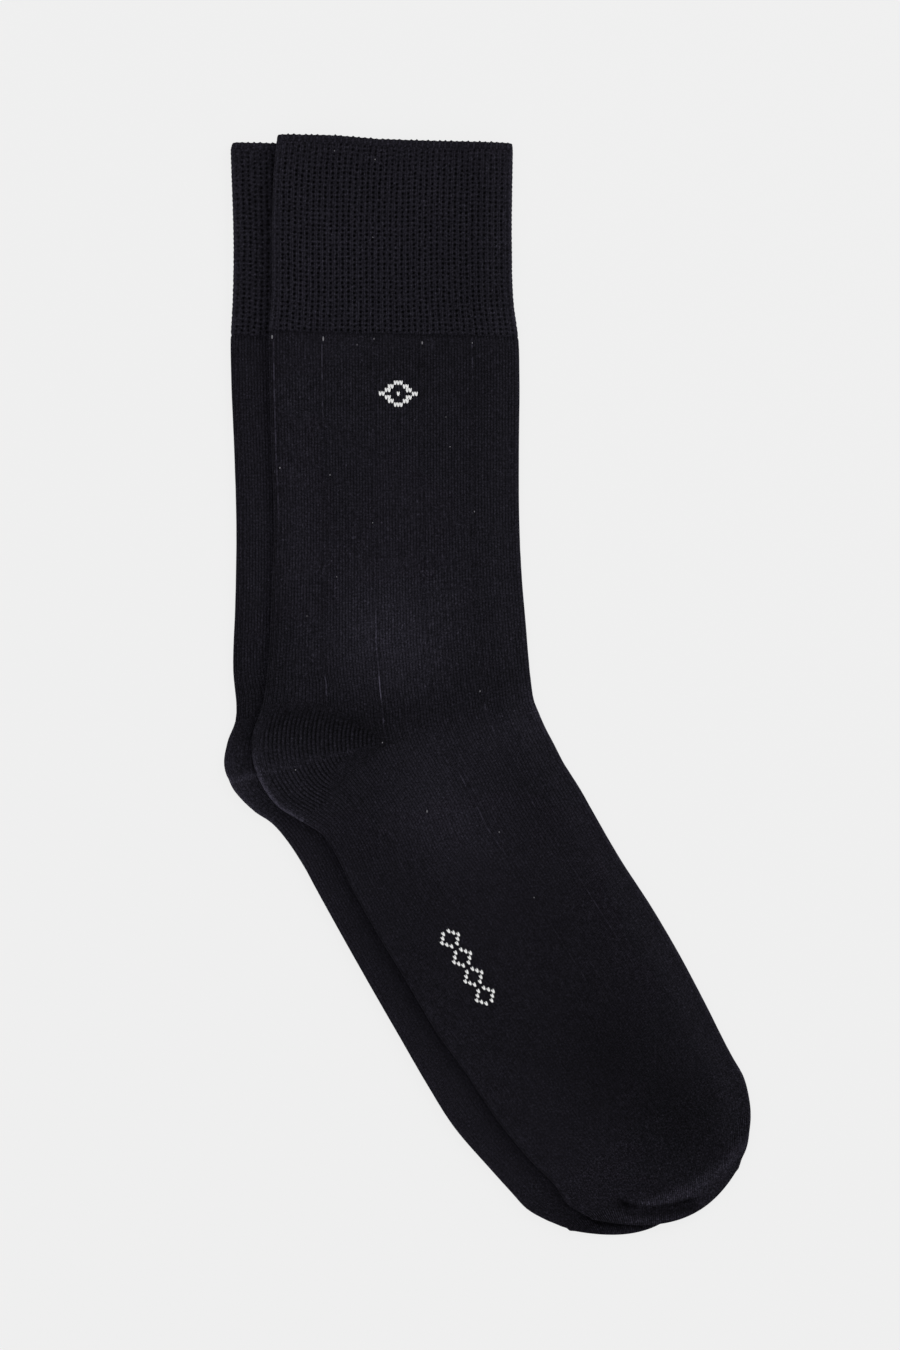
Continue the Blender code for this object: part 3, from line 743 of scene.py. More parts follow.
def set_knit(piece, wales, courses):
    """The knit's own map: wales across and courses along, for the stitches of its finish."""
    data = piece.data
    data.uv_layers[0].name = "knit"
    corners = np.zeros(len(data.loops), int)
    data.loops.foreach_get("vertex_index", corners)
    data.uv_layers["knit"].data.foreach_set("uv", np.stack([wales[corners], courses[corners]], 1).ravel())


def set_values(piece, name, values):
    data = piece.data.attributes.new(name, "FLOAT", "POINT")
    data.data.foreach_set("value", values.astype(np.float32))


def close_up(piece):
    """Links the edges that meet and smooths the cloth."""
    bpy.ops.object.mode_set(mode="EDIT")
    bpy.ops.mesh.select_all(action="SELECT")
    bpy.ops.mesh.remove_doubles(threshold=MEET)
    bpy.ops.object.mode_set(mode="OBJECT")
    bpy.ops.object.shade_smooth_by_angle(angle=np.radians(70.0))
    piece.select_set(False)


def finish_piece(piece, sock, finish):
    piece.data.materials.clear()
    piece.data.materials.append(finish)
    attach(piece, "root")
    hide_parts(sock)


def knit_piece(part, wrap, relief, inner, wales, courses, values, finish, zipped=None, inner_zipped=None):
    """A shell of cloth: the outside with its relief, then the plain inside, back to where it began.

    wales and courses number the stitches of each column and row, and values names what the finish reads at
    each point. A zipped toe leaves the two ends open instead. Returns the piece and the grid of its outside.
    """
    outside = wrap.points(relief, zipped)
    inside = inner.points(-inner.form.walls(inner.rows.places)[:, None] * INSIDE_SHARE, inner_zipped)
    layers = [outside, inside]
    row_courses = [courses, np.interp(inner.rows.places, wrap.rows.places, courses)]
    if zipped is None:
        layers.append(outside[:1])
        row_courses.append(courses[-1:] + 1)
    points = np.concatenate(layers)
    points[..., 1] -= PAIR_MIDDLE_Y
    all_courses = np.concatenate(row_courses)
    piece, column, row = lay_grid(wrap.form.name + "_" + part, points.shape[1], points.shape[0])
    piece.data.vertices.foreach_set("co", (points[row, column] * MM).astype(np.float32).ravel())
    set_knit(piece, wales[column], all_courses[row])
    for value_name, value in values.items():
        padded = np.zeros(points.shape[:2])
        padded[: len(value)] = value
        if zipped is None:
            padded[-1] = value[0]
        set_values(piece, value_name, padded[row, column])
    close_up(piece)
    finish_piece(piece, wrap.form.name, finish)
    return piece, wrap


def smooth_points(wrap):
    """The points of a grid with no relief."""
    return wrap.points(0.0 * wrap.plan[..., 0])


def cut_size(wrap):
    """Width, length and area of the cloth of a wrapped grid, in metres, laid out with no relief."""
    points = smooth_points(wrap) * MM
    across = np.linalg.norm(np.diff(points, axis=1), axis=2)
    along = np.linalg.norm(np.diff(points, axis=0), axis=2)
    area = ((across[1:] + across[:-1]) / 2 * (along[:, 1:] + along[:, :-1]) / 2).sum()
    width, length = across.sum(axis=1).max(), along.sum(axis=0).max()
    return width, length, min(area, width * length)


def lay_sheet(wrap):
    """Works out the size of a piece's cloth, as it is knitted all round the sock; nothing is done with it."""
    width, length, area = cut_size(wrap)


# ---------------------------------------------------------------- finishes

BLACK = (0.0071, 0.0066, 0.0094)
DARKEST = 0.02  # the least tone
MOTTLE_SCALE = 1250.0
FLUFF_SCALE = 2400.0
FLECK_SCALE = 760.0
FLECK_SHARE = 0.63  # share of the cloth without a fleck of fluff, about
PATCH_SCALE = 38.0
PATCHES = 0.3
STITCH_SLANT = 1.5
STREAK_STRETCH = (0.9, 0.2, 1.0)
RIB_GAPS = (4.4, 0.74)  # how narrow the gaps beside a rib's yarn are, and how dark their painted shade is
RIB_YARN = (2.8, 0.6)  # how narrow and how light the yarn is
LIT_TONE = 5.0
LIT_CORE = 4.2  # how narrow the yarn is where it catches the light
LIT_STRETCH = (0.05, 0.42, 1.0)
LIT_CONTRAST = (7.0, -3.9)
LIT_LEAST = 0.12


class Finish:
    """A material whose nodes are added one by one."""

    def __init__(self, name):
        self.material = bpy.data.materials.new(name)
        self.material.use_nodes = True
        self.tree = self.material.node_tree
        self.shader = self.tree.nodes["Principled BSDF"]

    def node(self, kind, **settings):
        made = self.tree.nodes.new(kind)
        for name, value in settings.items():
            setattr(made, name, value)
        return made

    def feed(self, socket, value):
        if isinstance(value, bpy.types.NodeSocket):
            self.tree.links.new(value, socket)
        else:
            socket.default_value = value

    def maths(self, operation, *values):
        made = self.node("ShaderNodeMath", operation=operation)
        for socket, value in zip(made.inputs, values):
            self.feed(socket, value)
        return made.outputs[0]

    def attribute(self, name):
        return self.node("ShaderNodeAttribute", attribute_name=name).outputs["Fac"]

    def stretched(self, vector, scale):
        made = self.node("ShaderNodeMapping")
        self.feed(made.inputs["Vector"], vector)
        made.inputs["Scale"].default_value = scale
        return made.outputs[0]

    def noise(self, vector, scale, detail=2.0):
        made = self.node("ShaderNodeTexNoise")
        self.feed(made.inputs["Vector"], vector)
        made.inputs["Scale"].default_value = scale
        made.inputs["Detail"].default_value = detail
        return made.outputs["Fac"]

    def set_colour(self, colour, tone):
        """The base colour, scaled by its tone at each point."""
        tinted = self.node("ShaderNodeVectorMath", operation="SCALE")
        tinted.inputs[0].default_value = colour
        self.feed(tinted.inputs["Scale"], tone)
        self.feed(self.shader.inputs["Base Color"], tinted.outputs[0])

    def set_bump(self, strength, distance, height):
        """Fine relief of this depth."""
        bump = self.node("ShaderNodeBump")
        bump.inputs["Strength"].default_value = strength
        bump.inputs["Distance"].default_value = distance * MM
        self.feed(bump.inputs["Height"], height)
        self.feed(self.shader.inputs["Normal"], bump.outputs[0])


def knit_finish(name, depth, contrast, line, streak, mottle, fleck):
    """Matt black cotton.

    depth and contrast are those of its V stitches, contrast being their painted shade and highlight, line is
    the painted shade between the wales, streak is how uneven it is along them, mottle how uneven it is all
    over, and fleck how bright its fluff is.
    """
    made = Finish(name)
    maths = made.maths
    stitches = made.node("ShaderNodeUVMap", uv_map="knit").outputs["UV"]
    split = made.node("ShaderNodeSeparateXYZ")
    made.feed(split.inputs[0], stitches)
    wale, course = split.outputs["X"], split.outputs["Y"]
    from_middle = maths("ABSOLUTE", maths("SUBTRACT", maths("FRACT", wale), 0.5))
    leg = maths("SINE", maths("MULTIPLY", from_middle, 2 * np.pi))
    slanted = maths("FRACT", maths("MULTIPLY_ADD", from_middle, STITCH_SLANT, course))
    loop = maths("POWER", maths("SINE", maths("MULTIPLY", slanted, np.pi)), 0.6)
    stitch = maths("MULTIPLY", leg, loop)

    streaked = made.noise(made.stretched(stitches, STREAK_STRETCH), 1.0, 2.0)
    place = made.node("ShaderNodeTexCoord").outputs["Object"]
    mottled = made.noise(place, MOTTLE_SCALE, 2.0)
    fluffy = made.noise(place, FLUFF_SCALE, 1.0)
    patchy = made.noise(place, PATCH_SCALE, 2.0)

    uneven = 0.0
    for value, share in ((streaked, streak), (mottled, mottle), (fluffy, mottle), (patchy, PATCHES)):
        uneven = maths("ADD", maths("MULTIPLY_ADD", value, share, -0.5 * share), uneven)
    tone = maths("MULTIPLY", maths("ADD", made.attribute("tone"), 1.0), maths("EXPONENT", uneven))
    # painted shade and highlight of the V stitches, then painted shade in the troughs between the wales
    tone = maths("MULTIPLY", tone, maths("MULTIPLY_ADD", stitch, contrast, 1.0 - 0.42 * contrast))
    wale_gap_shade = maths("POWER", maths("MULTIPLY", from_middle, 2.0), 4.0)
    tone = maths("MULTIPLY", tone, maths("MULTIPLY_ADD", wale_gap_shade, -line, 1.0 + 0.2 * line))
    flecks = maths("SUBTRACT", made.noise(place, FLECK_SCALE, 3.0), FLECK_SHARE)
    tone = maths("MULTIPLY", tone, maths("MULTIPLY_ADD", maths("MAXIMUM", flecks, 0.0), fleck, 1.0))

    # an open rib: its floating yarn is lighter, between two gaps painted dark as shade
    aside = maths("SUBTRACT", 1.0, made.attribute("rib"))
    gap = maths("ABSOLUTE", maths("SUBTRACT", aside, 0.5))
    gap = maths("MAXIMUM", maths("MULTIPLY_ADD", gap, -RIB_GAPS[0], 1.0), 0.0)
    between = maths("MAXIMUM", maths("MULTIPLY_ADD", aside, -RIB_YARN[0], 1.0), 0.0)
    ladder = maths("MULTIPLY_ADD", gap, -RIB_GAPS[1], maths("MULTIPLY", between, RIB_YARN[1]))
    tone = maths("MULTIPLY", tone, maths("MULTIPLY_ADD", ladder, made.attribute("opened"), 1.0))
    # where that yarn catches the light, in uneven lengths
    lit = made.attribute("lit")
    floats = made.noise(made.stretched(stitches, LIT_STRETCH), 1.0, 2.0)
    floats = maths("ADD", maths("MULTIPLY_ADD", floats, *LIT_CONTRAST), lit)
    floats = maths("MINIMUM", maths("MAXIMUM", floats, LIT_LEAST), 1.0)
    core = maths("MAXIMUM", maths("MULTIPLY_ADD", aside, -LIT_CORE, 1.0), 0.0)
    shine = maths("MULTIPLY", maths("MULTIPLY", core, floats), lit)
    tone = maths("MAXIMUM", maths("MULTIPLY_ADD", shine, LIT_TONE, tone), DARKEST)
    made.set_colour(BLACK, tone)

    made.set_bump(0.8, depth, maths("MULTIPLY_ADD", mottled, 0.6, stitch))
    made.feed(made.shader.inputs["Roughness"], maths("MULTIPLY_ADD", mottled, 0.12, 0.84))
    made.shader.inputs["IOR"].default_value = 1.45
    made.shader.inputs["Specular IOR Level"].default_value = 0.05
    made.shader.inputs["Sheen Weight"].default_value = 0.012
    made.shader.inputs["Sheen Roughness"].default_value = 0.45
    made.shader.inputs["Sheen Tint"].default_value = (0.88, 0.87, 1.0, 1.0)
    return made.material


def yarn_finish(name, colour, roughness):
    """Plain yarn with a little fluff."""
    made = Finish(name)
    fluff = made.noise(made.node("ShaderNodeTexCoord").outputs["Object"], FLUFF_SCALE, 3.0)
    made.set_colour(colour, made.maths("MULTIPLY_ADD", fluff, 0.5, 0.72))
    made.set_bump(0.5, 0.08, fluff)
    made.shader.inputs["Roughness"].default_value = roughness
    made.shader.inputs["Specular IOR Level"].default_value = 0.1
    made.shader.inputs["Sheen Weight"].default_value = 0.05
    return made.material


jersey = knit_finish("jersey", depth=0.22, contrast=0.35, line=1.15, streak=0.9, mottle=2.4, fleck=9.0)
mesh_rib = knit_finish("elastic_mesh", depth=0.18, contrast=0.3, line=0.0, streak=0.4, mottle=2.2, fleck=5.0)
heel_knit = knit_finish("heel_knit", depth=0.24, contrast=0.35, line=0.0, streak=0.4, mottle=2.4, fleck=4.0)
close_knit = knit_finish("close_knit", depth=0.16, contrast=0.4, line=0.45, streak=0.6, mottle=2.2, fleck=4.0)
toe_knit = knit_finish("toe_knit", depth=0.16, contrast=0.4, line=0.3, streak=0.6, mottle=3.1, fleck=4.0)

# ---------------------------------------------------------------- pieces of a sock


def inner_rows(first, last, count):
    """Places of the inside's rows, back from the end of a piece to its start."""
    return np.linspace(last, first, count)


def tones(wrap):
    """Tone of the cloth: painted sheen and shade, painted highlights along the folds and on the toe's end,
    fluff, and painted shade in the toe's tuck.
    """
    form = wrap.form
    # painted sheen and shade of the swells and troughs, partly also stretched and slack cloth
    tone = mound(wrap.plan, SHEEN_AND_SHADE_PATCHES, form.slip) + (UNDER_TONE if form.is_under else 0.0)
    # painted highlight along the folded sides
    tone += RIM_HIGHLIGHT_TONE * bell(wrap.side, RIM_HIGHLIGHT_WIDTH)
    # fluff, with painted rim light, along the outer sides
    outer = (wrap.wales < APEX_WALE) | form.is_under
    tone += FUZZ_AND_RIM_LIGHT_TONE * bell(wrap.side, FUZZ_AND_RIM_LIGHT_WIDTH) * outer
    if not wrap.in_toe():
        return tone
    # painted highlight on the toe's rolled end
    stretched = np.interp(form.length - wrap.rows.places, *zip(*END_HIGHLIGHT))[:, None]
    tone += stretched * ease((wrap.shares - END_HIGHLIGHT_BACK[0]) / (END_HIGHLIGHT_BACK[1] - END_HIGHLIGHT_BACK[0]))
    # painted shade in the toe's tuck and a painted highlight on its lip
    tuck, opened = tuck_share(form, wrap.plan, "tone")
    return tone + tuck * opened


def creases(wrap):
    """Relief of the creases, which fade out at the folds. The lower layer has only troughs."""
    depth = mound(wrap.plan, CREASES, wrap.form.slip) * ease(wrap.side / CREASE_EDGE)
    return np.where(wrap.upper > 0, np.minimum(depth, CREASE_TOP), -LOWER_CREASES * np.abs(depth))


def relief_noise(shape, amount, seed):
    """Small random dents, alike in the first and last columns."""
    return join_ends(np.random.default_rng(seed).normal(0.0, amount, shape).clip(-2.5 * amount, 0.0))


def jersey_relief(wrap, waves, rib, seed, tucked=0.0):
    """Relief of plain knit: the troughs between its wales, sunken ribs, creases and small dents."""
    relief = knit_waves(wrap.wales, waves)[None, :] - rib + creases(wrap) - tucked
    return np.minimum(relief, RELIEF_TOP) + relief_noise(relief.shape, GRAIN, seed)


def ring(count):
    """Turns of the columns all round a sock."""
    return np.linspace(0.0, 2.0 * FACE_WALES, count + 1)


def pit_stagger(rng):
    """How far each column of pits is slipped along the sock, in rows: it strays from column to column."""
    steps = rng.normal(0.0, CUFF_STAGGER, 2 * CUFF_PITS)
    slipped = np.zeros(2 * CUFF_PITS + 1)
    for number, step in enumerate(steps):
        slipped[number + 1] = CUFF_STRAY * slipped[number] + step
    return slipped - slipped[-1] * np.linspace(0.0, 1.0, len(slipped))


def make_cuff(form, steps_across, seed):
    """The elastic mesh: pits in rows and columns, with a fine groove between the columns."""
    turns = ring(2 * CUFF_PITS * steps_across)
    first, last = WELT - CUFF_OVERLAP, form.cuff_end
    places = np.linspace(first, last, CUFF_PIT_ROWS * CUFF_PIT_STEPS + 1)
    wrap, inner = wrap_pair(form, Form.rows, places, inner_rows(first, last, CUFF_INSIDE_ROWS), turns)

    # which pit each point is nearest to, and how far it is from its middle, in columns and rows
    rng = np.random.default_rng(seed)
    pit_shape = (CUFF_PIT_ROWS + sum(SPARE_PIT_ROWS), 2 * CUFF_PITS + 1)
    pits = [join_ends(rng.uniform(*spread, pit_shape)) for spread in PIT_SPREADS]
    column = np.arange(len(turns)) / steps_across
    near_column = np.rint(column).astype(int)
    slipped = pit_stagger(rng)[near_column] - np.interp(wrap.shares[0], *zip(*CUFF_SLANT))
    row = (np.arange(len(places)) / CUFF_PIT_STEPS)[:, None] + slipped[None, :]
    near_row = np.rint(row - 0.5).astype(int)
    size, lean, drift = (pit[near_row + SPARE_PIT_ROWS[0], near_column[None, :]] for pit in pits)
    across = np.abs(column[None, :] - near_column[None, :] + lean)
    along = np.abs(row - 0.5 - near_row + drift)
    off_column = np.abs(column - near_column)
    off_row = np.abs(row - 0.5 - near_row)

    # the mesh is shallower along the folded sides, on the instep side and by the welt
    by_welt = 1 - ease((places - WELT) / CUFF_BY_WELT[1])[:, None]
    deep = 1 - CUFF_BY_SIDE[0] * bell(wrap.side, CUFF_BY_SIDE[1])
    deep = deep * (CUFF_BY_INSTEP[0] - CUFF_BY_INSTEP[1] * wrap.shares**3) * (1 - CUFF_BY_WELT[0] * by_welt)
    pit = np.exp(-((across / PIT_HALF[0]) ** 2) - (along / PIT_HALF[1]) ** 2)
    pit = np.minimum(1.2 * pit * size, 1.0) * deep
    channel = bell(across, 0.22) * deep
    groove = bell(off_column - 0.5, 0.09)[None, :] * deep
    drop = ease((places - last + CUFF_DROP_RUN) / CUFF_DROP_RUN)[:, None]
    relief = PIT[0] * pit + CHANNEL[0] * channel + GROOVE[0] * groove - CUFF_DROP * drop
    relief = relief + relief_noise(relief.shape, CUFF_GRAIN, seed + 1)

    bar = channel * bell(off_row - 0.5, 0.16)
    ridge = bell(off_column - 0.31, 0.10)[None, :]
    yarn = rng.normal(0.0, CUFF_YARN, relief.shape)
    yarn += CUFF_FLUFF[0] * (rng.uniform(0.0, 1.0, relief.shape) > CUFF_FLUFF[1])
    # painted shade in the pits, channels and grooves, and painted highlight on the yarn between and beside
    # the pits
    tone = CUFF_TONE + PIT[1] * pit + GROOVE[1] * groove + CHANNEL[1] * channel + BAR_TONE * bar
    tone = tone + join_ends(yarn)
    tone += RIDGE_TONE * ridge * (1 - 0.4 * drop) * (0.7 + 0.6 * along.clip(0.0, 0.5))
    # painted shade where the last row sinks to the leg
    tone = tones(wrap) + tone - 0.35 * drop * ripple(column)[None, :]
    # painted highlight along the folded sides, and darker below the welt
    tone = np.maximum(tone + 0.15 * bell(wrap.side, 2.2) - 0.12 * by_welt, -0.94)
    stitches = 2.0 * column + 0.5
    return knit_piece("cuff", wrap, relief, inner, stitches, places / COURSE, {"tone": tone}, mesh_rib)


def make_welt(form, seed):
    """The turned welt: a plain narrow band, bumpy along its edge."""
    turns = ring(2 * CUFF_PITS * WELT_STEPS)
    places, lip = np.array(WELT_LIP).T
    wrap, inner = wrap_pair(form, Form.rows, places, np.array(WELT_INSIDE), turns)
    rng = np.random.default_rng(seed)
    column = np.arange(len(turns)) / (WELT_STEPS / 2)
    bumps = ripple(column)
    teeth = ripple(column / 2) * rng.uniform(0.25, 1.0, len(turns)) + 0.2 * bumps
    teeth[-1] = teeth[0]
    by_edge = (1 - ease(places / WELT_TEETH_RUN))[:, None]
    wrap.lift = wrap.lift + WELT_TEETH * teeth[None, :] * by_edge * (1 - bell(wrap.side, 1.6))
    uneven = join_ends(rng.uniform(-0.10, 0.0, (len(places), len(turns))))
    relief = lip[:, None] - WELT_BUMPS * (1 - bumps)[None, :] + uneven
    # painted shade in the dents and between the bumps, and painted highlight on the bumps; darker along the
    # hem's very edge
    tone = tones(wrap) + WELT_TONE + 2.5 * uneven
    tone += (0.80 * (bumps - 0.5) + 0.45 * np.cos(np.pi * column))[None, :]
    tone -= 0.5 * (places < 0.2)[:, None]
    return knit_piece("welt", wrap, relief, inner, column, places / COURSE, {"tone": tone}, mesh_rib)[0]


def leg_rows(form, places):
    """Rows of the leg, which run up over the heel pocket at the back."""
    turn = ease((places - form.gore + LEG_TURN) / LEG_TURN)
    return form.rows(places, places - (form.gore - form.heel_top) * turn, HEEL_ARCH * turn)


def heel_rows(form, places):
    """Rows of the heel pocket, which all end at the gore's point."""
    made = form.rows(places)
    point = form.rows(np.array([form.gore])).middle
    arch = HEEL_ARCH * np.clip((form.gore - places) / (form.gore - form.heel_top), 0.0, 1.0)
    gores = np.full(len(places), form.gore)
    return Rows(gores, made.front, np.repeat(point, len(places), axis=0), made.back, arch)


def foot_rows(form, places):
    """Rows of the foot, which run down round the heel pocket at the back."""
    turn = 1 - ease((places - form.gore) / FOOT_TURN)
    return form.rows(places, places + (form.heel_sole - form.gore) * turn)


def make_leg(form, steps, seed):
    """The leg, down to the heel pocket at the back and to the bend of the ankle in front."""
    turns = ring(2 * FACE_WALES * steps)
    first, last = form.cuff_end - LEG_OVERLAP, form.gore
    head = [first + place for place in LEG_HEAD_ROWS]
    places = np.concatenate([head[:-1], np.linspace(head[-1], last, LEG_ROWS)])
    wrap, inner = wrap_pair(form, leg_rows, places, inner_rows(first, last, LEG_INSIDE_ROWS), turns)
    rib, opened = rib_values(wrap, [last + end for end in LEG_RIB_ENDS])
    tucked = LEG_TUCK * (1 - ease((places - first) / LEG_TUCK_RUN))[:, None]
    relief = jersey_relief(wrap, LEG_WAVES, LEG_RIB * rib * opened, seed, tucked)
    shaded = (1 - ease((places - form.cuff_end) / CUFF_SHADE[1]))[:, None]
    tone = tones(wrap) + LEG_TONE - CUFF_SHADE[0] * shaded
    values = {"tone": tone, "rib": rib, "opened": opened, "lit": lit_ribs(wrap)}
    return knit_piece("leg", wrap, relief, inner, wrap.turns, places / COURSE, values, jersey)


def make_foot(form, steps, seed):
    """The foot, from the heel pocket and the bend of the ankle to the toe cap."""
    turns = ring(2 * FACE_WALES * steps)
    first, last = form.gore, form.toe_cap
    places = np.linspace(first, last, FOOT_ROWS)
    wrap, inner = wrap_pair(form, foot_rows, places, inner_rows(first, last, FOOT_INSIDE_ROWS), turns)
    rib, opened = rib_values(wrap, (first - FOOT_RIB_ENDS[0], last - FOOT_RIB_ENDS[1]))
    opened = opened * (0.85 - 0.6 * ease((places - first - 60.0) / 90.0))[:, None]
    relief = jersey_relief(wrap, FOOT_WAVES, FOOT_RIB * rib * opened, seed)
    start = ease(1 - (places - first) / 14.0)[:, None]
    ribbed = (1 - ease((places - first - 25.0) / 70.0))[:, None]
    tone = tones(wrap) + FOOT_TONE + (UNDER_FOOT_TONE if form.is_under else 0.0)
    # painted shade in the troughs between the wales, near the heel
    tone += (knit_waves(wrap.wales, 0.55)[None, :] + 0.2) * ribbed
    # painted highlight along the rim under the heel, carried onto the foot
    tone += 0.4 * HEEL_RIM_HIGHLIGHT * bell(wrap.side, 0.5) * start * (wrap.wales > APEX_WALE)
    values = {"tone": tone, "rib": rib, "opened": opened, "lit": lit_ribs(wrap)}
    return knit_piece("foot", wrap, relief, inner, wrap.turns, places / COURSE, values, close_knit)


def make_heel(form, seed):
    """The heel pocket, turned on a gore line: its wales run down the leg and then along the sole."""
    turns = np.linspace(APEX_WALE, 2 * FACE_WALES - APEX_WALE, 2 * HEEL_WALES * HEEL_STEPS + 1)
    first, last = form.heel_top, form.heel_sole
    upper = np.linspace(first, form.gore, HEEL_ROWS[0])
    lower = np.linspace(form.gore, last, HEEL_ROWS[1])
    places = np.concatenate([upper, lower[1:]])
    wrap, inner = wrap_pair(form, heel_rows, places, inner_rows(first, last, HEEL_INSIDE_ROWS), turns)
    column = np.arange(len(turns)) / HEEL_STEPS
    past_gore = (places - form.gore)[:, None]
    from_point = np.linalg.norm(wrap.plan - wrap.rows.middle[0], axis=-1)

    # the wales show as lines that fade out towards the gore's point, the pocket's top and the back
    down = np.clip(past_gore / (last - form.gore), 0.0, 1.0)
    begins = np.where(down > 0, 11.0 + 15.0 * down, 1.5)
    fade = ease((from_point - begins) / HEEL_POINT_FADE) * ease((places - first) / HEEL_TOP_FADE)[:, None]
    fade = fade * ease((wrap.side - HEEL_SIDE_FADE[0]) / HEEL_SIDE_FADE[1])
    fade = fade * (UNDER_HEEL_LINES if form.is_under else 1.0)
    gore = bell(past_gore, GORE_WIDTH) * ease(from_point / 4.0)
    rng = np.random.default_rng(seed)
    holes = gore * (rng.uniform(0.0, 1.0, (len(places), len(turns))) > HOLE_SHARE)
    waves = knit_waves(column, 1.0)[None, :] * fade
    relief = HEEL_WAVES * waves * (1 - gore) - GORE[0] * gore - HOLE[0] * holes + 0.5 * creases(wrap)
    relief = (relief + relief_noise(relief.shape, HEEL_GRAIN, seed + 1)) * ease(from_point / 1.5)

    yarn = rng.normal(0.0, HEEL_YARN[form.is_under], relief.shape)
    lines = ripple(column)[None, :] ** 0.65
    # painted shade in the troughs between the wales, as lines
    tone = tones(wrap) + (HEEL_LINES[0] - HEEL_LINES[1] * lines) * fade * (1 - gore) * (1 + 0.25 * (down > 0))
    tone = tone + GORE[1] * gore - HOLE[1] * holes + yarn
    # lighter along the top row, and a painted highlight along the back fold
    tone += 0.2 * bell(places - first - 0.6, 0.6)[:, None] * (1 - 1.5 * lines) + 0.22 * bell(wrap.side, 3.4)
    if form.is_under:
        tone += 0.14 + 1.35 * bell(past_gore, 1.0) + 0.25 * (down > 0)
    # painted highlight along the rim under the heel
    rim = bell(wrap.side, 0.8) * ease((past_gore + 9.0) / 12.0) * (1 + 0.5 * bell(past_gore - 8.0, 7.0))
    tone += HEEL_RIM_HIGHLIGHT * rim * (wrap.upper > 0) * (0.3 if form.is_under else 1.0)
    values = {"tone": np.maximum(tone, -0.85)}
    return knit_piece("heel", wrap, relief, inner, column, places / COURSE, values, heel_knit)


def make_toe(form, steps, seed):
    """The toe cap, closed along its end, with the surplus tucked in under the upper layer's lip.

    Its outside runs from the end back to the cap's first course, and its inside on from there.
    """
    turns = ring(2 * FACE_WALES * steps)
    first, last = form.toe_cap, form.length
    from_end = np.concatenate([np.linspace(*group) for group in TOE_END_ROWS] + [TOE_LAST_ROWS])
    even = np.linspace(first, last - from_end[0], TOE_ROWS)
    places = np.concatenate([even[:-1], last - from_end])[::-1]
    inside = inner_rows(first, last - CAVITY_END, TOE_INSIDE_ROWS)[::-1]
    wrap, inner = wrap_pair(form, Form.rows, places, inside, turns)
    zipped = np.sqrt(1 - (1 - np.clip((last - places) / FOLD_RADIUS, 0.0, 1.0)) ** 2)
    inner_zipped = (last - CAVITY_END - inner.rows.places > 0.01).astype(float)
    cap = ease((places - first) / 14.0)[:, None]
    ridges = ease((places[:, None] - last + 13.5 + 8.0 * ease((wrap.shares - 0.8) / 0.15)) / 4.0)
    waves = knit_waves(wrap.wales, 1.0)[None, :]
    relief = waves * (TOE_WAVES + TOE_RIDGES * ridges) + creases(wrap)
    relief = (relief + relief_noise(relief.shape, GRAIN, seed)[::-1]) * zipped[:, None]
    tuck, opened = tuck_share(form, wrap.plan, "tone")
    # painted highlight on the ridges of the toe's rolled end, with painted shade between the wales, left off
    # in the tuck
    ridged_highlight = (1.9 * waves + 0.74) * ridges * (1 - opened * np.maximum(-tuck, 0.0))
    tone = tones(wrap) + FOOT_TONE + 0.02 - 0.06 * cap + ridged_highlight
    # the lower sock's toe cap is darker: partly painted shadow of the upper sock
    tone += UNDER_FOOT_TONE - UNDER_TOE_TONE * cap if form.is_under else 0.0
    courses = places / COURSE * TOE_COURSES
    values = {"tone": tone}
    return knit_piece(
        "toe", wrap, relief, inner, wrap.turns, courses, values, toe_knit, zipped, inner_zipped
    )


# ---------------------------------------------------------------- small yarn pieces

# Tips of yarn at the heads of the ribs, and loose ends of fibre: plan place and half size
Tip = namedtuple("Tip", "name x y half_width half_length")
RIB_HEADS = (
    Tip("heel_side", -79.7, 331.5, 0.30, 0.75),
    Tip("heel_third", -60.8, 330.8, 0.32, 0.95),
    Tip("middle", -42.0, 330.8, 0.17, 0.34),
    Tip("instep_third", -24.2, 329.3, 0.28, 0.60),
    Tip("instep", -5.7, 329.3, 0.17, 0.38),
    Tip("heel_point", -38.9, 181.5, 0.22, 0.28),
)
LOOSE_ENDS = (
    Tip("hem_high", -56.6, 400.3, 0.19, 0.22),
    Tip("hem_middle", -41.6, 397.1, 0.21, 0.30),
    Tip("cuff", -42.4, 368.3, 0.15, 0.20),
    Tip("leg_side", -76.8, 283.1, 0.24, 0.40),
    Tip("leg_low", -58.3, 280.5, 0.20, 0.30),
    Tip("leg_top", -48.3, 328.6, 0.17, 0.22),
    Tip("leg_front", -13.9, 290.9, 0.24, 0.22),
    Tip("leg_middle", -42.5, 262.8, 0.18, 0.22),
    Tip("shin", -4.9, 266.9, 0.16, 0.34),
    Tip("calf", -55.8, 242.8, 0.17, 0.18),
    Tip("calf_low", -66.8, 228.3, 0.19, 0.19),
    Tip("leg_third", -15.4, 301.9, 0.14, 0.18),
    Tip("heel_side", -83.4, 192.0, 0.24, 0.30),
    Tip("heel_low", -71.0, 171.4, 0.24, 0.26),
    Tip("ankle", -2.8, 200.5, 0.22, 0.34),
    Tip("instep", -22.4, 156.1, 0.20, 0.60),
    Tip("foot", 4.3, 148.4, 0.22, 0.30),
    Tip("foot_low", 17.2, 124.2, 0.22, 0.26),
)


def one_lobe(name):
    """One short swell of yarn, as long as it is wide, at the origin."""
    bpy.ops.mesh.primitive_uv_sphere_add(segments=8, ring_count=6, radius=1.0, location=(0.0, 0.0, 0.0))
    lobe = bpy.context.object
    lobe.name = lobe.data.name = name
    lobe.data.shade_smooth()
    lobe.select_set(False)
    return lobe


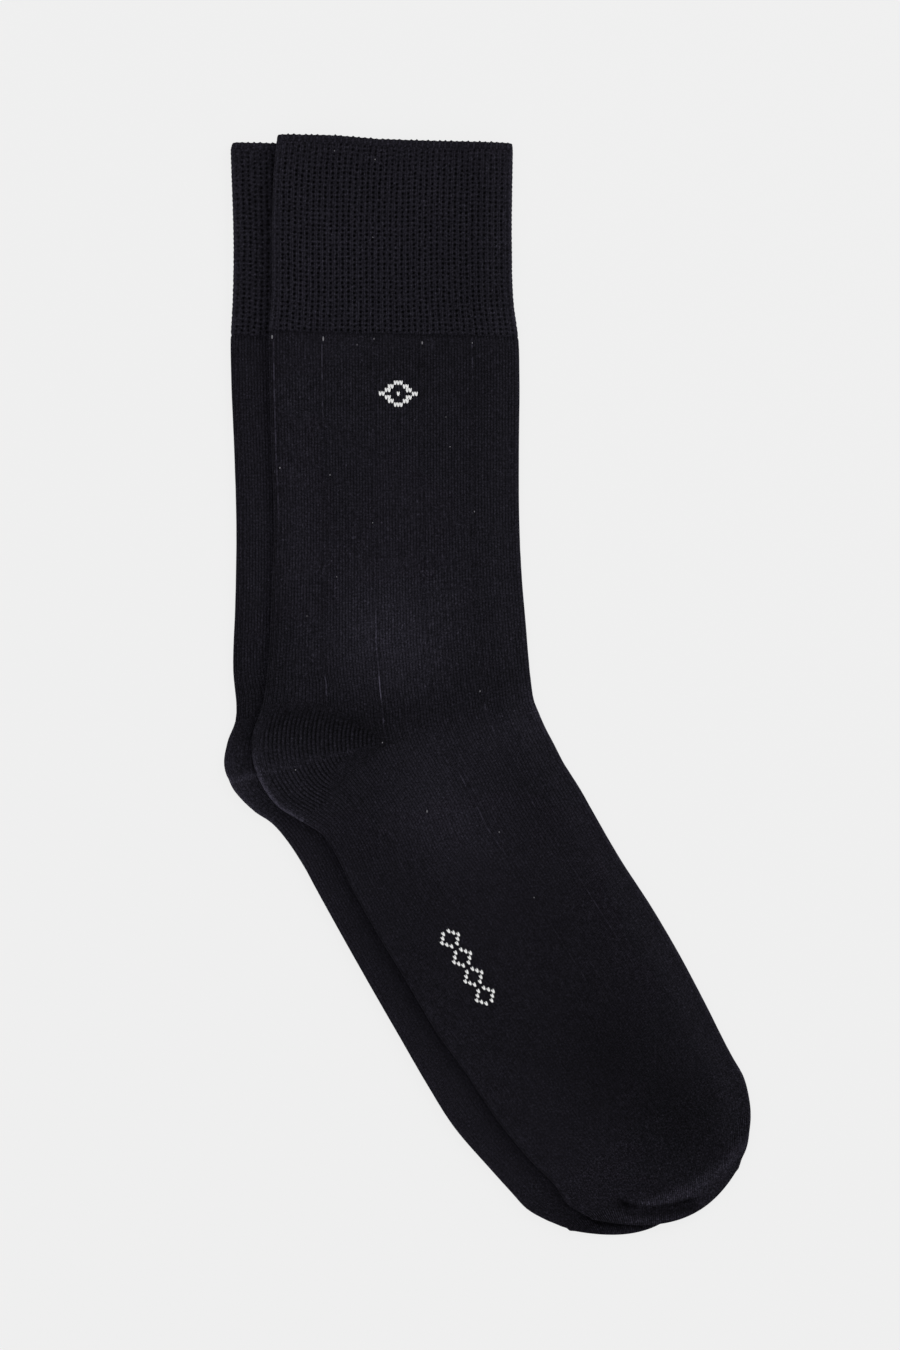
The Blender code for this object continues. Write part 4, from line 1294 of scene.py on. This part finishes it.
def lay_lobes(name, frames, form, finish):
    """A lobe of yarn in each frame, joined as one piece on the knit of a sock."""
    first = one_lobe(name)
    made = [first]
    for _ in frames[1:]:
        copy = first.copy()
        copy.data = first.data.copy()
        bpy.context.collection.objects.link(copy)
        made.append(copy)
    for lobe, place in zip(made, frames):
        lobe.data.transform(place)
        lobe.select_set(True)
    bpy.context.view_layer.objects.active = first
    bpy.ops.object.join()
    first.select_set(False)
    finish_piece(first, form.name, finish)
    return first


def surface_at(wraps, x, y):
    """The height of the outside of the upper layer at a plan point, from the nearest knitted point."""
    best = (np.inf, 0.0)
    for wrap in wraps:
        lower_layer = wrap.upper[0] < 0
        away = np.linalg.norm(wrap.plan - (x, y), axis=-1) + FAR * lower_layer
        nearest = np.unravel_index(away.argmin(), away.shape)
        best = min(best, (away[nearest], smooth_points(wrap)[nearest][2]))
    return best[1]


def lay_tips(name, tips, wraps, form, finish):
    frames = []
    for tip in tips:
        place = Vector((tip.x, tip.y - PAIR_MIDDLE_Y, surface_at(wraps, tip.x, tip.y))) * MM
        size = Vector((tip.half_width, tip.half_length, 0.5 * tip.half_width)) * MM
        frames.append(Matrix.LocRotScale(place, None, size))
    return lay_lobes(name, frames, form, finish)


def lozenge(half_width, half_height, thick):
    """The stitches of a lozenge's outline, across and up from its middle."""
    found = []
    for course in range(-half_height, half_height + 1):
        reach = round(half_width * (1 - abs(course) / (half_height + 0.5)))
        for step in range(thick):
            for side in (-1, 1):
                stitch = (side * max(reach - step, 0), course)
                if stitch not in found:
                    found.append(stitch)
    return found


def knit_motif(name, form, rows_of, middle, stitches, finish):
    """White stitches worked over the knit: two leaning lobes for each, on the wales and courses round middle.

    middle is a wale and a distance from the hem.
    """
    wales = sorted({middle[0] + across for across, _ in stitches})
    courses = sorted({up for _, up in stitches})
    edges = np.array(sorted({wale + half for wale in wales for half in (-0.5, 0.0, 0.5)}))
    places = np.array(sorted({middle[1] - COURSE * (up + half) for up in courses for half in (-0.5, 0.5)}))
    points = smooth_points(Wrap(form, rows_of(form, places), edges))
    points[..., 1] -= PAIR_MIDDLE_Y
    frames = []
    for across, up in stitches:
        column = np.abs(edges - (middle[0] + across)).argmin()
        low, high = (np.abs(places - (middle[1] - COURSE * (up + half))).argmin() for half in (-0.5, 0.5))
        foot, head = points[low, column], points[high, column]
        for side in (-1, 1):
            start = foot + (points[low, column + side] - foot) * LOBE_FOOT
            end = head + (points[high, column + side] - head) * LOBE_HEAD + (head - foot) * LOBE_RISE
            along = Vector(end - start)
            sideways = along.cross(Vector((0.0, 0.0, 1.0))).normalized()
            straight = along.normalized()
            turn = Matrix((sideways, straight, sideways.cross(straight))).transposed()
            place = Vector((start + end) / 2 + (0.0, 0.0, LOBE_LIFT)) * MM
            size = Vector((LOBE_HALF[0], along.length * LOBE_HALF[1], LOBE_HALF[2])) * MM
            frames.append(Matrix.LocRotScale(place, turn, size))
    return lay_lobes(name, frames, form, finish)


def make_sock(form, cuff_steps, steps, seed):
    """The welt of one sock, and its other pieces with the grids that they are wrapped on.

    cuff_steps and steps are the grid's columns to a column of the cuff's pits and to a wale.
    """
    welt = make_welt(form, seed)
    made = {
        "cuff": make_cuff(form, cuff_steps, seed + 1),
        "leg": make_leg(form, steps, seed + 3),
        "heel": make_heel(form, seed + 4),
        "foot": make_foot(form, steps, seed + 6),
        "toe": make_toe(form, steps, seed + 7),
    }
    return welt, made


def declare_sock(made):
    """Works out the size of each piece of cloth; nothing is done with it."""
    for part, (piece, wrap) in made.items():
        lay_sheet(wrap)


# ---------------------------------------------------------------- floor, light and camera

VIEW_MIDDLE = (-13.9, 206.5)  # in the tables' frame
VIEW_HEIGHT = 0.4995
CAMERA_DISTANCE = 3.0
CLOTH_LEVEL = 0.004  # height at which the view's scale is true
SENSOR = 36.0
FLOOR_LEVEL = -0.00005
PAPER = 0.863
PAPER_GLOW = 0.815
ROOM_LIGHT = 0.85
# Name, place, size and power
LIGHTS = (
    ("window", (1.6, 1.4, 1.1), 1.1, 28.5),
    ("fill", (-1.5, 0.9, 1.6), 1.4, 5.0),
)


def make_floor():
    bpy.ops.mesh.primitive_plane_add(size=6.0, location=(0.0, 0.0, FLOOR_LEVEL))
    floor = bpy.context.object
    floor.name = "paper_floor"
    made = Finish("paper")
    made.shader.inputs["Base Color"].default_value = (0.05, 0.05, 0.05, 1.0)
    made.shader.inputs["Roughness"].default_value = 1.0
    made.shader.inputs["Specular IOR Level"].default_value = 0.0
    made.shader.inputs["Emission Color"].default_value = (1.0, 1.0, 1.0, 1.0)
    made.shader.inputs["Emission Strength"].default_value = PAPER_GLOW
    floor.data.materials.append(made.material)
    floor.select_set(False)


def make_light(name, place, size, energy):
    """A square light that faces the pair."""
    bpy.ops.object.light_add(type="AREA", location=place)
    light = bpy.context.object
    light.name = name
    light.data.shape = "SQUARE"
    light.data.size = size
    light.data.energy = energy
    light.rotation_euler = (-Vector(place)).to_track_quat("-Z", "Y").to_euler()
    light.select_set(False)


def make_camera():
    """The camera looks straight down on the pair."""
    x, y = VIEW_MIDDLE[0] * MM, (VIEW_MIDDLE[1] - PAIR_MIDDLE_Y) * MM
    bpy.ops.object.camera_add(location=(x, y, CAMERA_DISTANCE), rotation=(0.0, 0.0, 0.0))
    camera = bpy.context.object
    camera.name = "camera"
    camera.data.sensor_fit = "VERTICAL"
    camera.data.sensor_width = camera.data.sensor_height = SENSOR
    camera.data.lens = SENSOR * (CAMERA_DISTANCE - CLOTH_LEVEL) / VIEW_HEIGHT
    camera.data.clip_end = 20.0
    camera.select_set(False)
    bpy.context.scene.camera = camera


def make_stage():
    make_floor()
    world = bpy.data.worlds.new("studio")
    bpy.context.scene.world = world
    world.use_nodes = True
    world.node_tree.nodes["Background"].inputs["Color"].default_value = (PAPER, PAPER, PAPER, 1.0)
    world.node_tree.nodes["Background"].inputs["Strength"].default_value = ROOM_LIGHT
    for light in LIGHTS:
        make_light(*light)
    make_camera()
    bpy.context.scene.view_settings.view_transform = "Standard"
    bpy.context.scene.view_settings.look = "None"


make_stage()
under = Form("sock_under", under=True)
over = Form("sock_over", under=False, below=under)
under_welt, under_made = make_sock(under, cuff_steps=5, steps=3, seed=11)
over_welt, over_made = make_sock(over, cuff_steps=6, steps=4, seed=41)

bright_yarn = yarn_finish("bright_yarn", (0.16, 0.155, 0.17), 0.6)
white_yarn = yarn_finish("white_yarn", (0.80, 0.80, 0.80), 0.8)
wraps = [wrap for _, wrap in over_made.values()]
rib_heads = lay_tips("sock_over_rib_heads", RIB_HEADS, wraps, over, bright_yarn)
loose_ends = lay_tips("sock_over_loose_ends", LOOSE_ENDS, wraps, over, bright_yarn)

leg_chart = lozenge(half_width=6, half_height=3, thick=2) + [(0, 0)]
leg_motif = knit_motif("sock_over_leg_motif", over, leg_rows, LEG_MOTIF, leg_chart, white_yarn)
foot_chart = []
for centre in (-9, -3, 3, 9):
    foot_chart += [(across, up + centre) for across, up in lozenge(half_width=3, half_height=2, thick=1)]
foot_motif = knit_motif("sock_over_foot_motif", over, foot_rows, FOOT_MOTIF, foot_chart, white_yarn)

declare_sock(under_made)
declare_sock(over_made)
